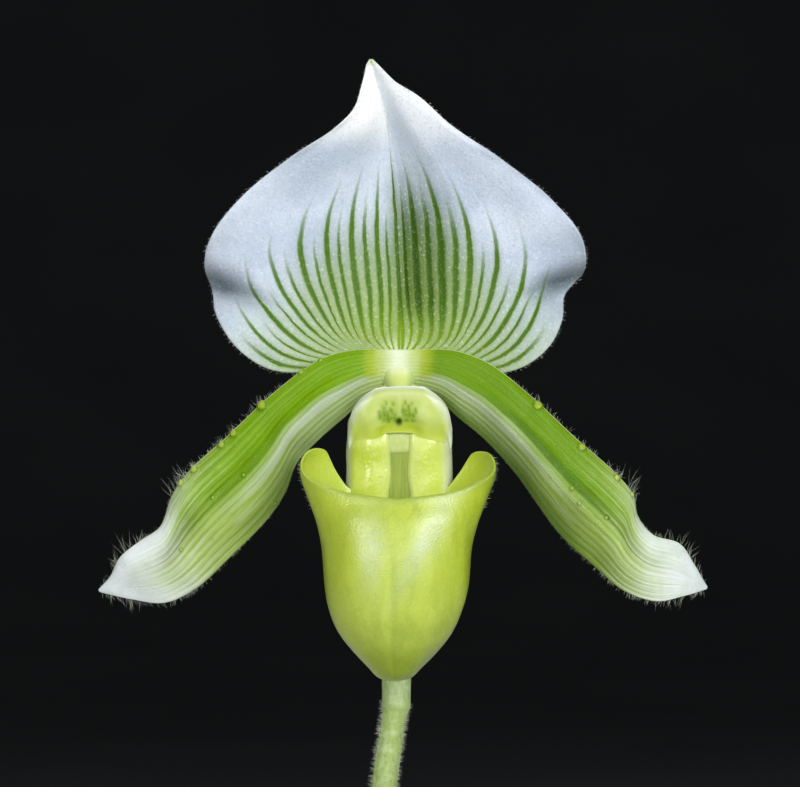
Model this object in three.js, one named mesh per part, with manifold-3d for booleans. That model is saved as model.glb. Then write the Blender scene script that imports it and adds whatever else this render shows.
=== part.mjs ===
// A potted slipper orchid: one flower on a hairy stem over a fan of strap leaves, in a plain clay pot.
// Millimetres, +Z up. The origin is the centre of the pot's underside, and the flower faces -Y.
import * as THREE from "three";
import { mergeVertices } from "three/addons/utils/BufferGeometryUtils.js";
import Module from "manifold-3d";

const wasm = await Module();
wasm.setup();

// Driving dimensions.
const GAP = 0.3;
const POT = {
  height: 88, baseRadius: 36, neckRadius: 46.5, rimRadius: 52, rimHeight: 19, wall: 4.5, floor: 5, edge: 1.5,
  inset: 1,
};
const DRAIN = { holes: 4, radius: 4.5, ringRadius: 18 };
const BARK = { top: 77, wallGap: 0.4, edge: 2 };
const CHIP = { count: 14, length: 11, width: 7.5, height: 4, outerRing: 37.5, innerRing: 25 };
const CROWN = { bottom: BARK.top + GAP, height: 23, bottomRadius: 7.5, topRadius: 4, depth: 0.8 };
const ROOT = { radius: 1.6, taper: 0.35, start: 9.8, bend: 12.5, rise: 4.6 };
const LEAF = { baseRadius: 9.5, thickness: 1.5, keel: 0.14 };
const FLOWER = new THREE.Vector3(0, -8, 320);
const STEM = { radius: 1.95, footGain: 0.15 };
const OVARY_RADIUS = 2.3;
const BRACT = { thickness: 0.7, radius: 3.05, flare: 1.2, wrap: 160, from: 0.02, length: 0.4 };
const SEPAL_THICKNESS = 1.1;
const PETAL_THICKNESS = 1.2;
const BLADE_STEPS = {
  leaf: [8, 16], dorsal: [18, 18], lowerSepal: [8, 10], petal: [6, 22], staminode: [14, 4],
};
const LIP_WALL = 1.0;
const CLAW_RADIUS = 0.85;
const COLUMN_RADIUS = 2.75;
const STIGMA = { halfWidth: 1.2, front: -4, back: -2 };
const STAMINODE = { halfWidth: 8, thickness: 1, front: -7.4, wrap: 1.9, lean: 0.5 };
const ANTHER = { radius: 1.1, x: 4.3, y: -2.6, z: -5.2 };

const point = (x, y, z) => new THREE.Vector3(x, y, z);
const degrees = THREE.MathUtils.degToRad;
const clamp = THREE.MathUtils.clamp;

/** The value at t of a smooth curve through stations [t, value], flat outside them. */
function through(stations, t) {
  const last = stations.length - 1;
  if (t <= stations[0][0]) return stations[0][1];
  if (t >= stations[last][0]) return stations[last][1];
  let i = 0;
  while (t > stations[i + 1][0]) i += 1;
  const slope = (a, b) => (stations[b][1] - stations[a][1]) / (stations[b][0] - stations[a][0]);
  const before = slope(Math.max(i - 1, 0), i + 1);
  const after = slope(i, Math.min(i + 2, last));
  const span = stations[i + 1][0] - stations[i][0];
  const u = (t - stations[i][0]) / span;
  const [a, b] = [stations[i][1], stations[i + 1][1]];
  return (
    a * (2 * u ** 3 - 3 * u ** 2 + 1) +
    b * (3 * u ** 2 - 2 * u ** 3) +
    before * span * (u ** 3 - 2 * u ** 2 + u) +
    after * span * (u ** 3 - u ** 2)
  );
}

/** A geometry from corner points and triangles, turned so that its faces point out. */
function closedGeometry(points, triangles) {
  const volume = triangles.reduce(
    (sum, [a, b, c]) => sum + points[a].dot(points[b].clone().cross(points[c])),
    0,
  );
  const geometry = new THREE.BufferGeometry().setFromPoints(points);
  geometry.setIndex(triangles.flatMap(([a, b, c]) => (volume < 0 ? [a, c, b] : [a, b, c])));
  geometry.computeVertexNormals();
  return geometry;
}

/** A closed solid through rings of points, with a fan over each end. */
function loft(rings) {
  const sides = rings[0].length;
  const points = rings.flat();
  const triangles = [];
  for (let r = 0; r + 1 < rings.length; r += 1) {
    for (let i = 0; i < sides; i += 1) {
      const [a, b] = [r * sides + i, r * sides + ((i + 1) % sides)];
      triangles.push([a, b, b + sides], [a, b + sides, a + sides]);
    }
  }
  const cap = (ring, first, flip) => {
    const centre = points.length;
    points.push(ring.reduce((sum, p) => sum.add(p), point(0, 0, 0)).divideScalar(sides));
    for (let i = 0; i < sides; i += 1) {
      const [a, b] = [first + i, first + ((i + 1) % sides)];
      triangles.push(flip ? [centre, b, a] : [centre, a, b]);
    }
  };
  cap(rings[0], 0, true);
  cap(rings[rings.length - 1], (rings.length - 1) * sides, false);
  return closedGeometry(points, triangles);
}

/** The unit normal of a surface(s, t), from its slopes on both sides. */
function normalAt(surface, s, t, sRange, tRange) {
  const step = 0.004;
  const low = (value, range) => Math.max(value - step, range[0]);
  const high = (value, range) => Math.min(value + step, range[1]);
  const across = surface(high(s, sRange), t).sub(surface(low(s, sRange), t));
  const along = surface(s, high(t, tRange)).sub(surface(s, low(t, tRange)));
  return across.cross(along).normalize();
}

/** A blade: the surface(s, t) with s from -1 to 1 across and t from 0 to 1 along, given a thickness. */
function blade(surface, thickness, columns, rows) {
  const points = [];
  const layer = [1, -1].map((side) => {
    const first = points.length;
    for (let r = 0; r <= rows; r += 1) {
      for (let c = 0; c <= columns; c += 1) {
        const [s, t] = [-1 + (2 * c) / columns, r / rows];
        const normal = normalAt(surface, s, t, [-1, 1], [0, 1]);
        points.push(surface(s, t).addScaledVector(normal, (side * thickness) / 2));
      }
    }
    return (r, c) => first + r * (columns + 1) + c;
  });
  const triangles = [];
  const quad = (a, b, c, d) => triangles.push([a, b, c], [a, c, d]);
  for (let r = 0; r < rows; r += 1) {
    for (let c = 0; c < columns; c += 1) {
      quad(layer[0](r, c), layer[0](r, c + 1), layer[0](r + 1, c + 1), layer[0](r + 1, c));
      quad(layer[1](r, c), layer[1](r + 1, c), layer[1](r + 1, c + 1), layer[1](r, c + 1));
    }
    quad(layer[0](r, 0), layer[0](r + 1, 0), layer[1](r + 1, 0), layer[1](r, 0));
    quad(layer[0](r, columns), layer[1](r, columns), layer[1](r + 1, columns), layer[0](r + 1, columns));
  }
  for (let c = 0; c < columns; c += 1) {
    quad(layer[0](0, c), layer[1](0, c), layer[1](0, c + 1), layer[0](0, c + 1));
    quad(layer[0](rows, c), layer[0](rows, c + 1), layer[1](rows, c + 1), layer[1](rows, c));
  }
  return closedGeometry(points, triangles);
}

/** A closed tube along a curve, whose radius depends on t. */
function tube(curve, radiusAt, sides, steps) {
  const frames = curve.computeFrenetFrames(steps);
  const rings = [];
  for (let i = 0; i <= steps; i += 1) {
    const centre = curve.getPointAt(i / steps);
    const ring = [];
    for (let k = 0; k < sides; k += 1) {
      const angle = (2 * Math.PI * k) / sides;
      const radius = radiusAt(i / steps);
      ring.push(
        centre
          .clone()
          .addScaledVector(frames.normals[i], radius * Math.cos(angle))
          .addScaledVector(frames.binormals[i], radius * Math.sin(angle)),
      );
    }
    rings.push(ring);
  }
  return loft(rings);
}

/** A smooth curve through points given as [x, y, z]. */
const curveThrough = (places) =>
  new THREE.CatmullRomCurve3(places.map((p) => point(...p)), false, "centripetal");

/** A surface through rib curves: s picks the place across them, t the share of each rib's length. */
function ribSurface(ribs) {
  const curves = ribs.map(([, places]) => curveThrough(places));
  return (s, t) => {
    const places = curves.map((curve) => curve.getPointAt(clamp(t, 0, 1)));
    const axis = (name) => through(ribs.map(([at], i) => [at, places[i][name]]), s);
    return point(axis("x"), axis("y"), axis("z"));
  };
}

/** A geometry as a manifold solid, for joins and cuts. */
function toSolid(geometry) {
  const bare = geometry.clone();
  bare.deleteAttribute("normal");
  bare.deleteAttribute("uv");
  const merged = mergeVertices(bare, 1e-3);
  return new wasm.Manifold(
    new wasm.Mesh({
      numProp: 3,
      vertProperties: merged.attributes.position.array,
      triVerts: new Uint32Array(merged.index.array),
    }),
  );
}

function fromSolid(solid) {
  const mesh = solid.getMesh();
  const geometry = new THREE.BufferGeometry();
  geometry.setAttribute("position", new THREE.BufferAttribute(mesh.vertProperties, 3));
  geometry.setIndex(new THREE.BufferAttribute(mesh.triVerts, 1));
  geometry.computeVertexNormals();
  return geometry;
}

const MATERIALS = {
  clay: { color: 0xb5653f, roughness: 0.9 },
  bark: { color: 0x5a3a24, roughness: 0.95 },
  root: { color: 0x6b5138, roughness: 0.95 },
  leaf: { color: 0x4f7a38, roughness: 0.5 },
  stem: { color: 0x9fb56c, roughness: 0.6 },
  sepal: { color: 0xd5dde6, roughness: 0.6 },
  petal: { color: 0x78a01c, roughness: 0.6 },
  lip: { color: 0xa8bd3c, roughness: 0.35 },
  column: { color: 0xe6eed0, roughness: 0.4 },
  pollen: { color: 0xd9c25a, roughness: 0.5 },
};

const plant = new THREE.Group();
const flower = new THREE.Group();
flower.position.copy(FLOWER);
plant.add(flower);

function add(group, name, geometry, finish) {
  const mesh = new THREE.Mesh(
    geometry,
    new THREE.MeshStandardMaterial({ metalness: 0, ...MATERIALS[finish] }),
  );
  mesh.name = name;
  group.add(mesh);
  return mesh;
}

// The pot: a tapered wall with a thick rim band, and a flat floor with drainage holes.
const POT_INNER_BASE = POT.baseRadius - POT.wall;
const POT_INNER_TOP = POT.rimRadius - POT.wall - POT.inset;

function potGeometry() {
  const [sides, drillSides] = [48, 16];
  const bandBottom = POT.height - POT.rimHeight;
  const profile = [
    [0, 0],
    [POT.baseRadius - POT.edge, 0],
    [POT.baseRadius, POT.edge],
    [POT.neckRadius, bandBottom],
    [POT.rimRadius - POT.inset, bandBottom],
    [POT.rimRadius, bandBottom + POT.edge],
    [POT.rimRadius, POT.height - POT.edge],
    [POT.rimRadius - POT.edge, POT.height],
    [POT_INNER_TOP + POT.inset, POT.height],
    [POT_INNER_TOP, POT.height - POT.edge],
    [POT_INNER_BASE, POT.floor],
    [0, POT.floor],
  ].map(([r, z]) => new THREE.Vector2(r, z));
  let pot = toSolid(new THREE.LatheGeometry(profile, sides).rotateX(Math.PI / 2));
  for (let i = 0; i < DRAIN.holes; i += 1) {
    const angle = (2 * Math.PI * i) / DRAIN.holes + Math.PI / 4;
    const drill = new THREE.CylinderGeometry(DRAIN.radius, DRAIN.radius, 4 * POT.floor, drillSides)
      .rotateX(Math.PI / 2)
      .translate(DRAIN.ringRadius * Math.cos(angle), DRAIN.ringRadius * Math.sin(angle), 0);
    pot = pot.subtract(toSolid(drill));
  }
  return fromSolid(pot);
}

/** The pot's inside radius at height z. */
function potInside(z) {
  const share = (z - POT.floor) / (POT.height - POT.edge - POT.floor);
  return POT_INNER_BASE + (POT_INNER_TOP - POT_INNER_BASE) * share;
}

// The bark that fills the pot, as one body, and the loose chips on top of it.
function barkGeometry() {
  const sides = 40;
  const bottom = POT.floor + GAP;
  const shoulder = BARK.top - BARK.edge / 2;
  const profile = [
    [0, bottom],
    [potInside(bottom) - BARK.wallGap, bottom],
    [potInside(shoulder) - BARK.wallGap, shoulder],
    [potInside(shoulder) - BARK.wallGap - BARK.edge, BARK.top],
    [0, BARK.top],
  ].map(([r, z]) => new THREE.Vector2(r, z));
  return new THREE.LatheGeometry(profile, sides).rotateX(Math.PI / 2);
}

/** One chip: a six-sided block whose corners are pushed about by its number. */
const CHIP_LEVELS = [[0, 0.86], [0.3, 1], [0.75, 0.96], [1, 0.7]];

function chipGeometry(number) {
  const corners = 6;
  const wobble = (k) => 0.5 + 0.5 * Math.sin(12.9 * (number + 1) + 4.7 * k);
  const outline = [];
  for (let k = 0; k < corners; k += 1) {
    const angle = (2 * Math.PI * (k + 0.4 * wobble(k))) / corners;
    outline.push([0.5 * CHIP.length * Math.cos(angle), 0.5 * CHIP.width * Math.sin(angle)]);
  }
  const height = CHIP.height * (0.75 + 0.4 * wobble(corners));
  return loft(
    CHIP_LEVELS.map(([level, size]) => outline.map(([x, y]) => point(x * size, y * size, level * height))),
  );
}

function addChips() {
  for (let i = 0; i < CHIP.count; i += 1) {
    const angle = (2 * Math.PI * (i + 0.25)) / CHIP.count;
    const radius = i % 2 === 0 ? CHIP.outerRing : CHIP.innerRing;
    const turn = 1.1 + 2.3 * i;
    const chip = add(plant, `bark_chip_${String(i + 1).padStart(2, "0")}`, chipGeometry(i), "bark");
    chip.position.set(radius * Math.cos(angle), radius * Math.sin(angle), BARK.top + GAP);
    chip.rotation.z = angle + turn;
  }
}

// The short stem base that carries the leaves, and the roots that leave it.
function crownGeometry() {
  const [sides, steps, hollow] = [20, 6, 1.3];
  const rings = [];
  for (let i = 0; i <= steps; i += 1) {
    const share = i / steps;
    const radius = CROWN.topRadius + (CROWN.bottomRadius - CROWN.topRadius) * (1 - share) ** hollow;
    const z = CROWN.bottom + CROWN.height * share;
    const ring = [];
    for (let k = 0; k < sides; k += 1) {
      const angle = (2 * Math.PI * k) / sides;
      ring.push(point(radius * Math.cos(angle), CROWN.depth * radius * Math.sin(angle), z));
    }
    rings.push(ring);
  }
  return loft(rings);
}

const ROOTS = [
  { azimuth: 58, reach: 17 },
  { azimuth: -45, reach: 15 },
  { azimuth: 262, reach: 18 },
  { azimuth: 110, reach: 14 },
];

function rootGeometry({ azimuth, reach }) {
  const [sides, steps, lift] = [8, 8, 0.05];
  const direction = point(Math.cos(degrees(azimuth)), Math.sin(degrees(azimuth)), 0);
  const place = (out, z) => direction.clone().multiplyScalar(out).setZ(BARK.top + GAP + z);
  const curve = new THREE.CatmullRomCurve3([
    place(ROOT.start, 0.87 * ROOT.rise),
    place(ROOT.bend, ROOT.rise),
    place(ROOT.bend + 0.35 * reach, 0.74 * ROOT.rise),
    place(ROOT.bend + 0.7 * reach, ROOT.radius + lift),
  ]);
  return tube(curve, (t) => ROOT.radius * (1 - ROOT.taper * t), sides, steps);
}

// The leaves: folded like a gutter at the base, open and arching further out.
const LEAVES = [
  { azimuth: 6, base: 83, reach: 116, peak: 139, tip: 108, halfWidth: 20.5 },
  { azimuth: 187, base: 85.5, reach: 112, peak: 146, tip: 119, halfWidth: 20 },
  { azimuth: -28, base: 88.8, reach: 100, peak: 164, tip: 146, halfWidth: 19.5 },
  { azimuth: 153, base: 91.6, reach: 94, peak: 172, tip: 160, halfWidth: 19 },
  { azimuth: 33, base: 93.6, reach: 74, peak: 183, tip: 182, halfWidth: 17.5 },
  { azimuth: 214, base: 96.5, reach: 66, peak: 190, tip: 192, halfWidth: 16.5 },
  { azimuth: 102, base: 99, reach: 36, peak: 166, tip: 174, halfWidth: 10 },
];
const LEAF_MIDRIB = [[0, 0], [0.1, 0.34], [0.33, 0.8], [0.64, 1]];
const LEAF_WIDTH = [
  [0, 0.2], [0.08, 0.3], [0.25, 0.66], [0.45, 0.94], [0.62, 1], [0.8, 0.86], [0.92, 0.52], [1, 0.04],
];
const LEAF_FOLD = [[0, 50], [0.15, 46], [0.4, 22], [0.7, 13], [1, 9]];

function leafSurface({ azimuth, base, reach, peak, tip, halfWidth }) {
  const out = point(Math.cos(degrees(azimuth)), Math.sin(degrees(azimuth)), 0);
  const side = point(-out.y, out.x, 0);
  const at = (distance, z) => out.clone().multiplyScalar(distance).setZ(z);
  const places = LEAF_MIDRIB.map(([far, high]) =>
    at(LEAF.baseRadius + far * (reach - LEAF.baseRadius), base + high * (peak - base)),
  );
  const midrib = new THREE.CatmullRomCurve3([...places, at(reach, tip)]);
  return (s, t) => {
    const share = clamp(t, 0, 1);
    const centre = midrib.getPointAt(share);
    const up = midrib.getTangentAt(share).cross(side).normalize();
    const width = halfWidth * through(LEAF_WIDTH, share);
    const fold = degrees(through(LEAF_FOLD, share));
    const rise = Math.hypot(s, LEAF.keel) - LEAF.keel;
    return centre
      .addScaledVector(side, width * s * Math.cos(fold))
      .addScaledVector(up, width * rise * Math.sin(fold));
  };
}

// The flower stem, from the crown to the node under the bract.
const STEM_TOP = FLOWER.clone().add(point(-0.6, 8.4, -53.2));

function stemGeometry() {
  const [sides, steps] = [10, 26];
  const foot = CROWN.bottom + CROWN.height + GAP;
  const curve = curveThrough([
    [0, 0, foot],
    [0.8, 0.4, foot + 35],
    [-1.5, 0.8, foot + 85],
    [-4.4, 0.6, foot + 128],
    [-2.6, 0.4, STEM_TOP.z - 14],
    STEM_TOP.toArray(),
  ]);
  return tube(curve, (t) => STEM.radius * (1 + STEM.footGain * (1 - t)), sides, steps);
}

// Places in the flower are measured from its centre, where the petals meet.
const OVARY_PATH = [
  [-0.6, 8.4, -52.9],
  [-0.5, 9.6, -44],
  [-0.2, 11.2, -32],
  [0, 11.6, -19],
  [0, 9.6, -8],
  [0, 5.2, -1.6],
  [0, 3.6, -0.6],
];
const OVARY_WIDTH = [[0, 0.8], [0.12, 0.86], [0.4, 1.05], [0.75, 1], [1, 0.85]];

function bractGeometry() {
  const [columns, rows, narrowing, roundness] = [12, 7, 0.85, 1.6];
  const centre = curveThrough(OVARY_PATH);
  const surface = (s, t) => {
    const share = clamp(t, 0, 1);
    const middle = centre.getPointAt(BRACT.from + BRACT.length * share);
    const angle = Math.PI / 2 - s * degrees(BRACT.wrap) * (1 - narrowing * share ** roundness);
    const radius = BRACT.radius + BRACT.flare * share;
    return middle.add(point(radius * Math.cos(angle), radius * Math.sin(angle), 0));
  };
  return blade(surface, BRACT.thickness, columns, rows);
}

// The dorsal sepal: ribs from its left margin to its right one, each from the base to the tip.
const DORSAL_RIBS = [
  [-1, [
    [-2.2, 1.7, 0.3], [-9, 1.6, 0.2], [-15, 1.2, -1.1], [-20.5, 0.8, -0.6], [-25.4, 1.2, 2.6],
    [-28.8, 2.6, 7.8], [-29.6, 5.4, 11.4], [-30.8, 4.6, 15.6], [-29.4, 1.8, 20.4], [-24.6, 0.6, 26.5],
    [-17.4, -0.4, 32.2], [-10.4, -1.2, 36.7], [-7.2, -1.8, 39.8], [-5.9, -2.6, 43.6], [-5, -3.4, 47.1],
  ]],
  [-0.7, [
    [-1.8, 1.8, 0.8], [-8.5, 2.2, 2.2], [-15.2, 2.6, 5.4], [-20.6, 3, 11.4], [-22.6, 2.8, 18], [-20, 2, 25],
    [-12.6, 0.6, 32.4], [-6.6, -0.8, 39.2], [-4.9, -3.2, 47.2],
  ]],
  [-0.35, [
    [-1, 1.9, 1.1], [-6, 2.8, 4.2], [-9.8, 3.6, 10.4], [-11.6, 4, 17], [-11.4, 3.6, 23.6], [-8.6, 2.2, 31],
    [-4.8, 0, 38.6], [-4.8, -3, 47.3],
  ]],
  [0, [
    [0, 2, 1.2], [-0.1, 3.2, 5], [-0.4, 4.6, 11.5], [-0.8, 5.2, 18], [-1.1, 4.8, 25], [-1.6, 3.2, 32],
    [-2.4, 0.6, 39.5], [-4.5, -2.9, 47.3],
  ]],
  [0.35, [
    [1, 1.9, 1.1], [6, 2.8, 3.8], [8.8, 3.7, 9.4], [9.6, 4.2, 15.6], [9.2, 3.8, 22.2], [6.6, 2.4, 29.8],
    [1.6, 0.2, 37.2], [-4.3, -3, 47.3],
  ]],
  [0.7, [
    [1.8, 1.8, 0.8], [8.6, 2.2, 1.4], [14.6, 2.6, 5.2], [18.2, 3, 11], [19.4, 2.8, 17.4], [17.4, 2, 24],
    [11.6, 0.6, 31.2], [4, -0.8, 38.4], [-4.2, -3.2, 47.2],
  ]],
  [1, [
    [2.2, 1.7, 0.3], [8, 1.6, 0], [14, 1.2, -1.4], [19.4, 0.8, -0.2], [23.4, 1.2, 3], [25.4, 2.4, 7.2],
    [26, 5.2, 11.2], [29.1, 4.6, 15], [28.4, 1.8, 20], [24, 0.6, 25.6], [16, -0.4, 32],
    [8, -1.2, 37.4], [3, -1.8, 41.8], [-0.8, -2.6, 44], [-3.9, -3.4, 47.1],
  ]],
];

// The lower sepal hangs behind the pouch.
const LOWER_SEPAL_RIBS = [
  [-1, [
    [-2, 2.4, -2.2], [-5.6, 3.4, -8], [-6.8, 5, -16], [-8.6, 5.4, -25], [-6, 4.6, -33], [-1.1, 3.2, -39.4],
  ]],
  [0, [
    [0, 2, -2.6], [0, 3.8, -8], [0, 6, -16], [-0.2, 7, -25], [-0.4, 5.8, -33], [-0.6, 3.4, -39.8],
  ]],
  [1, [
    [2, 2.4, -2.2], [5.6, 3.4, -8], [6.8, 5, -16], [8.2, 5.4, -25], [5.2, 4.6, -33], [-0.1, 3.2, -39.4],
  ]],
];

// The petals: an upper and a lower edge, with a ridge between them that stands towards the viewer.
const LEFT_PETAL = {
  upper: [
    [-3.2, -1, 2.4], [-8, -1.6, 2.2], [-12.5, -2, 0.8], [-19.4, -2.6, -4.2], [-26.9, -2.8, -11.2],
    [-33, -2.4, -16.8], [-35.4, -2, -20.4], [-37.3, -1.8, -25.2], [-40.4, -1.4, -27.4], [-43.6, -1, -30],
    [-45.2, -0.4, -33], [-47, 0.4, -35],
  ],
  lower: [
    [-3.4, 0, -2.6], [-5.8, -0.6, -5.6], [-8.8, -1, -8.2], [-12.8, -1.6, -11.7], [-16.2, -2, -15.4],
    [-17.8, -2.4, -19.6], [-20.2, -3, -23.4], [-26.9, -4, -30.3], [-31.6, -4.4, -34.6], [-36.4, -4, -36.9],
    [-41.6, -2.4, -36.5], [-46.9, 0.2, -35.5],
  ],
};
const RIGHT_PETAL = {
  upper: [
    [3.2, -1, 2.4], [8.6, -1.6, 2.2], [13.8, -2, 0.2], [19.5, -2.6, -4.2], [27.5, -2.8, -11.6],
    [33.4, -2.4, -16.8], [36.2, -2, -20.2], [37, -1.8, -23.6], [39.4, -1.4, -26.5], [43.6, -1, -27.9],
    [45.8, -0.4, -31], [47.9, 0.4, -34.6],
  ],
  lower: [
    [3.4, 0, -2.6], [6.2, -0.6, -5.6], [9.2, -1, -8.2], [13.4, -1.6, -11.7], [18.2, -2, -17],
    [21.6, -2.4, -21.8], [25.3, -3, -26.7], [30.4, -4, -31.4], [35, -4.4, -35.2], [39.8, -4, -36.7],
    [44, -2.4, -36], [47.8, 0.2, -35.1],
  ],
};
const PETAL_RIDGE = [[0, 0.6], [0.2, 2.4], [0.6, 2.6], [0.85, 0.6], [1, 0]];

function petalSurface({ upper, lower }) {
  const [top, bottom] = [upper, lower].map(curveThrough);
  return (s, t) => {
    const share = clamp(t, 0, 1);
    const across = (s + 1) / 2;
    const place = bottom.getPointAt(share).lerp(top.getPointAt(share), across);
    place.y -= through(PETAL_RIDGE, share) * (1 - s * s);
    return place;
  };
}

// The lip: a pouch whose rim dips in front and rises to a rounded ear on each side.
const POUCH_TOE = -48.6;
const POUCH_HALF_WIDTH = [
  [-48.6, 0.6], [-48.1, 2.4], [-46.5, 4.1], [-44.6, 5.9], [-41, 8.7], [-37.3, 10.3], [-33.6, 11.1], [-28, 11.5],
  [-24.4, 12.25], [-20.8, 13.5], [-17.1, 14.8], [-15, 14.8], [-12.9, 13.7],
];
const POUCH_FRONT = [
  [-48.6, -11.6], [-48.1, -13.2], [-46.5, -15.4], [-42.8, -18.6], [-37, -21.2], [-30, -22.2], [-24, -21.2],
  [-20.8, -19.8], [-12.9, -17.5],
];
const POUCH_BACK = [
  [-48.6, -10.4], [-48.1, -9], [-46.5, -6.8], [-42.8, -4.4], [-37, -3.2], [-24, -3.4], [-12.9, -3],
];
const POUCH_RIM = [
  [0, -20.8], [30, -19.9], [50, -18.9], [70, -17.5], [86, -16.1], [102, -13.8], [116, -12.9], [130, -14],
  [141, -16.8], [150, -19.2], [165, -20], [180, -20],
];
const POUCH_CENTRE_X = [[-48.6, -0.8], [-12.9, -0.35]];
const POUCH_SQUARENESS = 2.25;

/** The pouch's outside, at an angle round it from the front and a share of the way from toe to rim. */
function pouchPoint(angle, share) {
  const turn = Math.abs(((angle + 540) % 360) - 180);
  const z = POUCH_TOE + (through(POUCH_RIM, turn) - POUCH_TOE) * share;
  const round = (value) => Math.sign(value) * Math.abs(value) ** (2 / POUCH_SQUARENESS);
  const [front, back] = [through(POUCH_FRONT, z), through(POUCH_BACK, z)];
  return point(
    through(POUCH_CENTRE_X, z) + through(POUCH_HALF_WIDTH, z) * round(Math.sin(degrees(angle))),
    (front + back) / 2 - ((back - front) / 2) * round(Math.cos(degrees(angle))),
    z,
  );
}

function pouchGeometry() {
  const [sides, levels] = [32, 12];
  const shareAt = (level) => (level / levels) ** 1.5;
  const firstInside = 3;
  const inside = (angle, share) => {
    const normal = normalAt((a, h) => pouchPoint(a * 360, h), angle / 360, share, [-9, 9], [0.001, 1]);
    return pouchPoint(angle, share).addScaledVector(normal, LIP_WALL);
  };
  const ring = (shape, level) =>
    Array.from({ length: sides }, (_, k) => shape((360 * k) / sides, shareAt(level)));
  const rings = [];
  for (let level = 0; level <= levels; level += 1) rings.push(ring(pouchPoint, level));
  for (let level = levels; level >= firstInside; level -= 1) rings.push(ring(inside, level));
  return loft(rings);
}

// The lip's folded-in side lobes: an upright body with a groove down its front.
const LOBE_OUTLINE = [
  [0, 0.6], [1.5, 0.4], [1.7, -1.2], [1.8, -3.2], [2.6, -4.6], [4.6, -5.3], [6.6, -4.6], [7.8, -2.8],
  [8.1, -0.6], [7.2, 1.2], [3.6, 2.1],
];
const LOBE_SCALE = [[-24, 1.02], [-19, 1.04], [-12, 1], [-8.6, 0.93], [-7, 0.82]];

function lobesGeometry() {
  const mirrored = LOBE_OUTLINE.slice(1).reverse().map(([x, y]) => [-x, y]);
  const outline = [...LOBE_OUTLINE, [0, 2.2], ...mirrored];
  const rings = LOBE_SCALE.map(([z, scale]) => outline.map(([x, y]) => point(x * scale, y * scale, z)));
  return loft(rings);
}

/** The narrow claw that ties the pouch's back to the flower's base. */
function clawGeometry() {
  const curve = curveThrough([[0, 1.3, -10], [0, 1.6, -6.4], [0, 1.2, -4.3]]);
  const [sides, steps] = [10, 4];
  return tube(curve, () => CLAW_RADIUS, sides, steps);
}

const lipGeometry = () =>
  fromSolid(toSolid(pouchGeometry()).add(toSolid(lobesGeometry())).add(toSolid(clawGeometry())));

// The column between the petals, with the stigma under it.
function columnGeometry() {
  const [sides, steps] = [16, 6];
  const path = curveThrough([[0, 1.2, 0.2], [0, -1.6, -0.3], [0, -5.4, -1.2]]);
  const stub = tube(path, () => COLUMN_RADIUS, sides, steps);
  const { halfWidth, front, back } = STIGMA;
  const outline = [[-halfWidth, back], [halfWidth, back], [halfWidth, front], [-halfWidth, front]];
  const stigma = loft([-1, -6, -13.4].map((z) => outline.map(([x, y]) => point(x, y, z))));
  return fromSolid(toSolid(stub).add(toSolid(stigma)));
}

// The staminode: a shield in front of the column, notched below.
const STAMINODE_TOP = [
  [-1, -8.4], [-0.9, -6.2], [-0.6, -4.1], [-0.3, -3.5], [0.3, -3.4], [0.6, -4], [0.9, -6.2], [1, -8.4],
];
const STAMINODE_BOTTOM = [
  [-1, -9.2], [-0.85, -11.4], [-0.55, -12], [-0.3, -10.8], [0.3, -10.8], [0.55, -11.8], [0.85, -11.2],
  [1, -9.2],
];

function staminodeSurface(s, t) {
  const z = through(STAMINODE_TOP, s) * (1 - t) + through(STAMINODE_BOTTOM, s) * t;
  const y = STAMINODE.front + STAMINODE.wrap * s ** 4 + STAMINODE.lean * (1 - t);
  return point(STAMINODE.halfWidth * s, y, z);
}

function antherGeometry() {
  const [sides, levels] = [10, 6];
  return new THREE.SphereGeometry(ANTHER.radius, sides, levels).scale(0.8, 1, 0.9);
}

function addPot() {
  add(plant, "pot", potGeometry(), "clay");
  add(plant, "bark_mix", barkGeometry(), "bark");
  addChips();
}

function addFoliage() {
  add(plant, "crown", crownGeometry(), "stem");
  ROOTS.forEach((root, i) => add(plant, `root_${i + 1}`, rootGeometry(root), "root"));
  LEAVES.forEach((leaf, i) =>
    add(plant, `leaf_${i + 1}`, blade(leafSurface(leaf), LEAF.thickness, ...BLADE_STEPS.leaf), "leaf"),
  );
  add(plant, "flower_stem", stemGeometry(), "stem");
}

function addFlower() {
  const [ovarySides, ovarySteps] = [12, 16];
  const ovaryWidth = (t) => OVARY_RADIUS * through(OVARY_WIDTH, t);
  const dorsal = blade(ribSurface(DORSAL_RIBS), SEPAL_THICKNESS, ...BLADE_STEPS.dorsal);
  const lowerSepal = blade(ribSurface(LOWER_SEPAL_RIBS), SEPAL_THICKNESS, ...BLADE_STEPS.lowerSepal);
  const petal = (edges) => blade(petalSurface(edges), PETAL_THICKNESS, ...BLADE_STEPS.petal);
  const staminode = blade(staminodeSurface, STAMINODE.thickness, ...BLADE_STEPS.staminode);
  add(flower, "ovary", tube(curveThrough(OVARY_PATH), ovaryWidth, ovarySides, ovarySteps), "stem");
  add(flower, "bract", bractGeometry(), "stem");
  add(flower, "dorsal_sepal", dorsal, "sepal");
  add(flower, "lower_sepal", lowerSepal, "sepal");
  add(flower, "petal_left", petal(LEFT_PETAL), "petal");
  add(flower, "petal_right", petal(RIGHT_PETAL), "petal");
  add(flower, "lip", lipGeometry(), "lip");
  add(flower, "column", columnGeometry(), "column");
  add(flower, "staminode", staminode, "column");
  [["left", -1], ["right", 1]].forEach(([side, sign]) => {
    const anther = add(flower, `anther_${side}`, antherGeometry(), "pollen");
    anther.position.set(ANTHER.x * sign, ANTHER.y, ANTHER.z);
  });
}

addPot();
addFoliage();
addFlower();

export default plant;
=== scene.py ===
"""A potted slipper orchid in a soft studio: the looks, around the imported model.

Shapes are worked out in millimetres, with the flower's own places measured from its centre.
"""
import math

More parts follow.
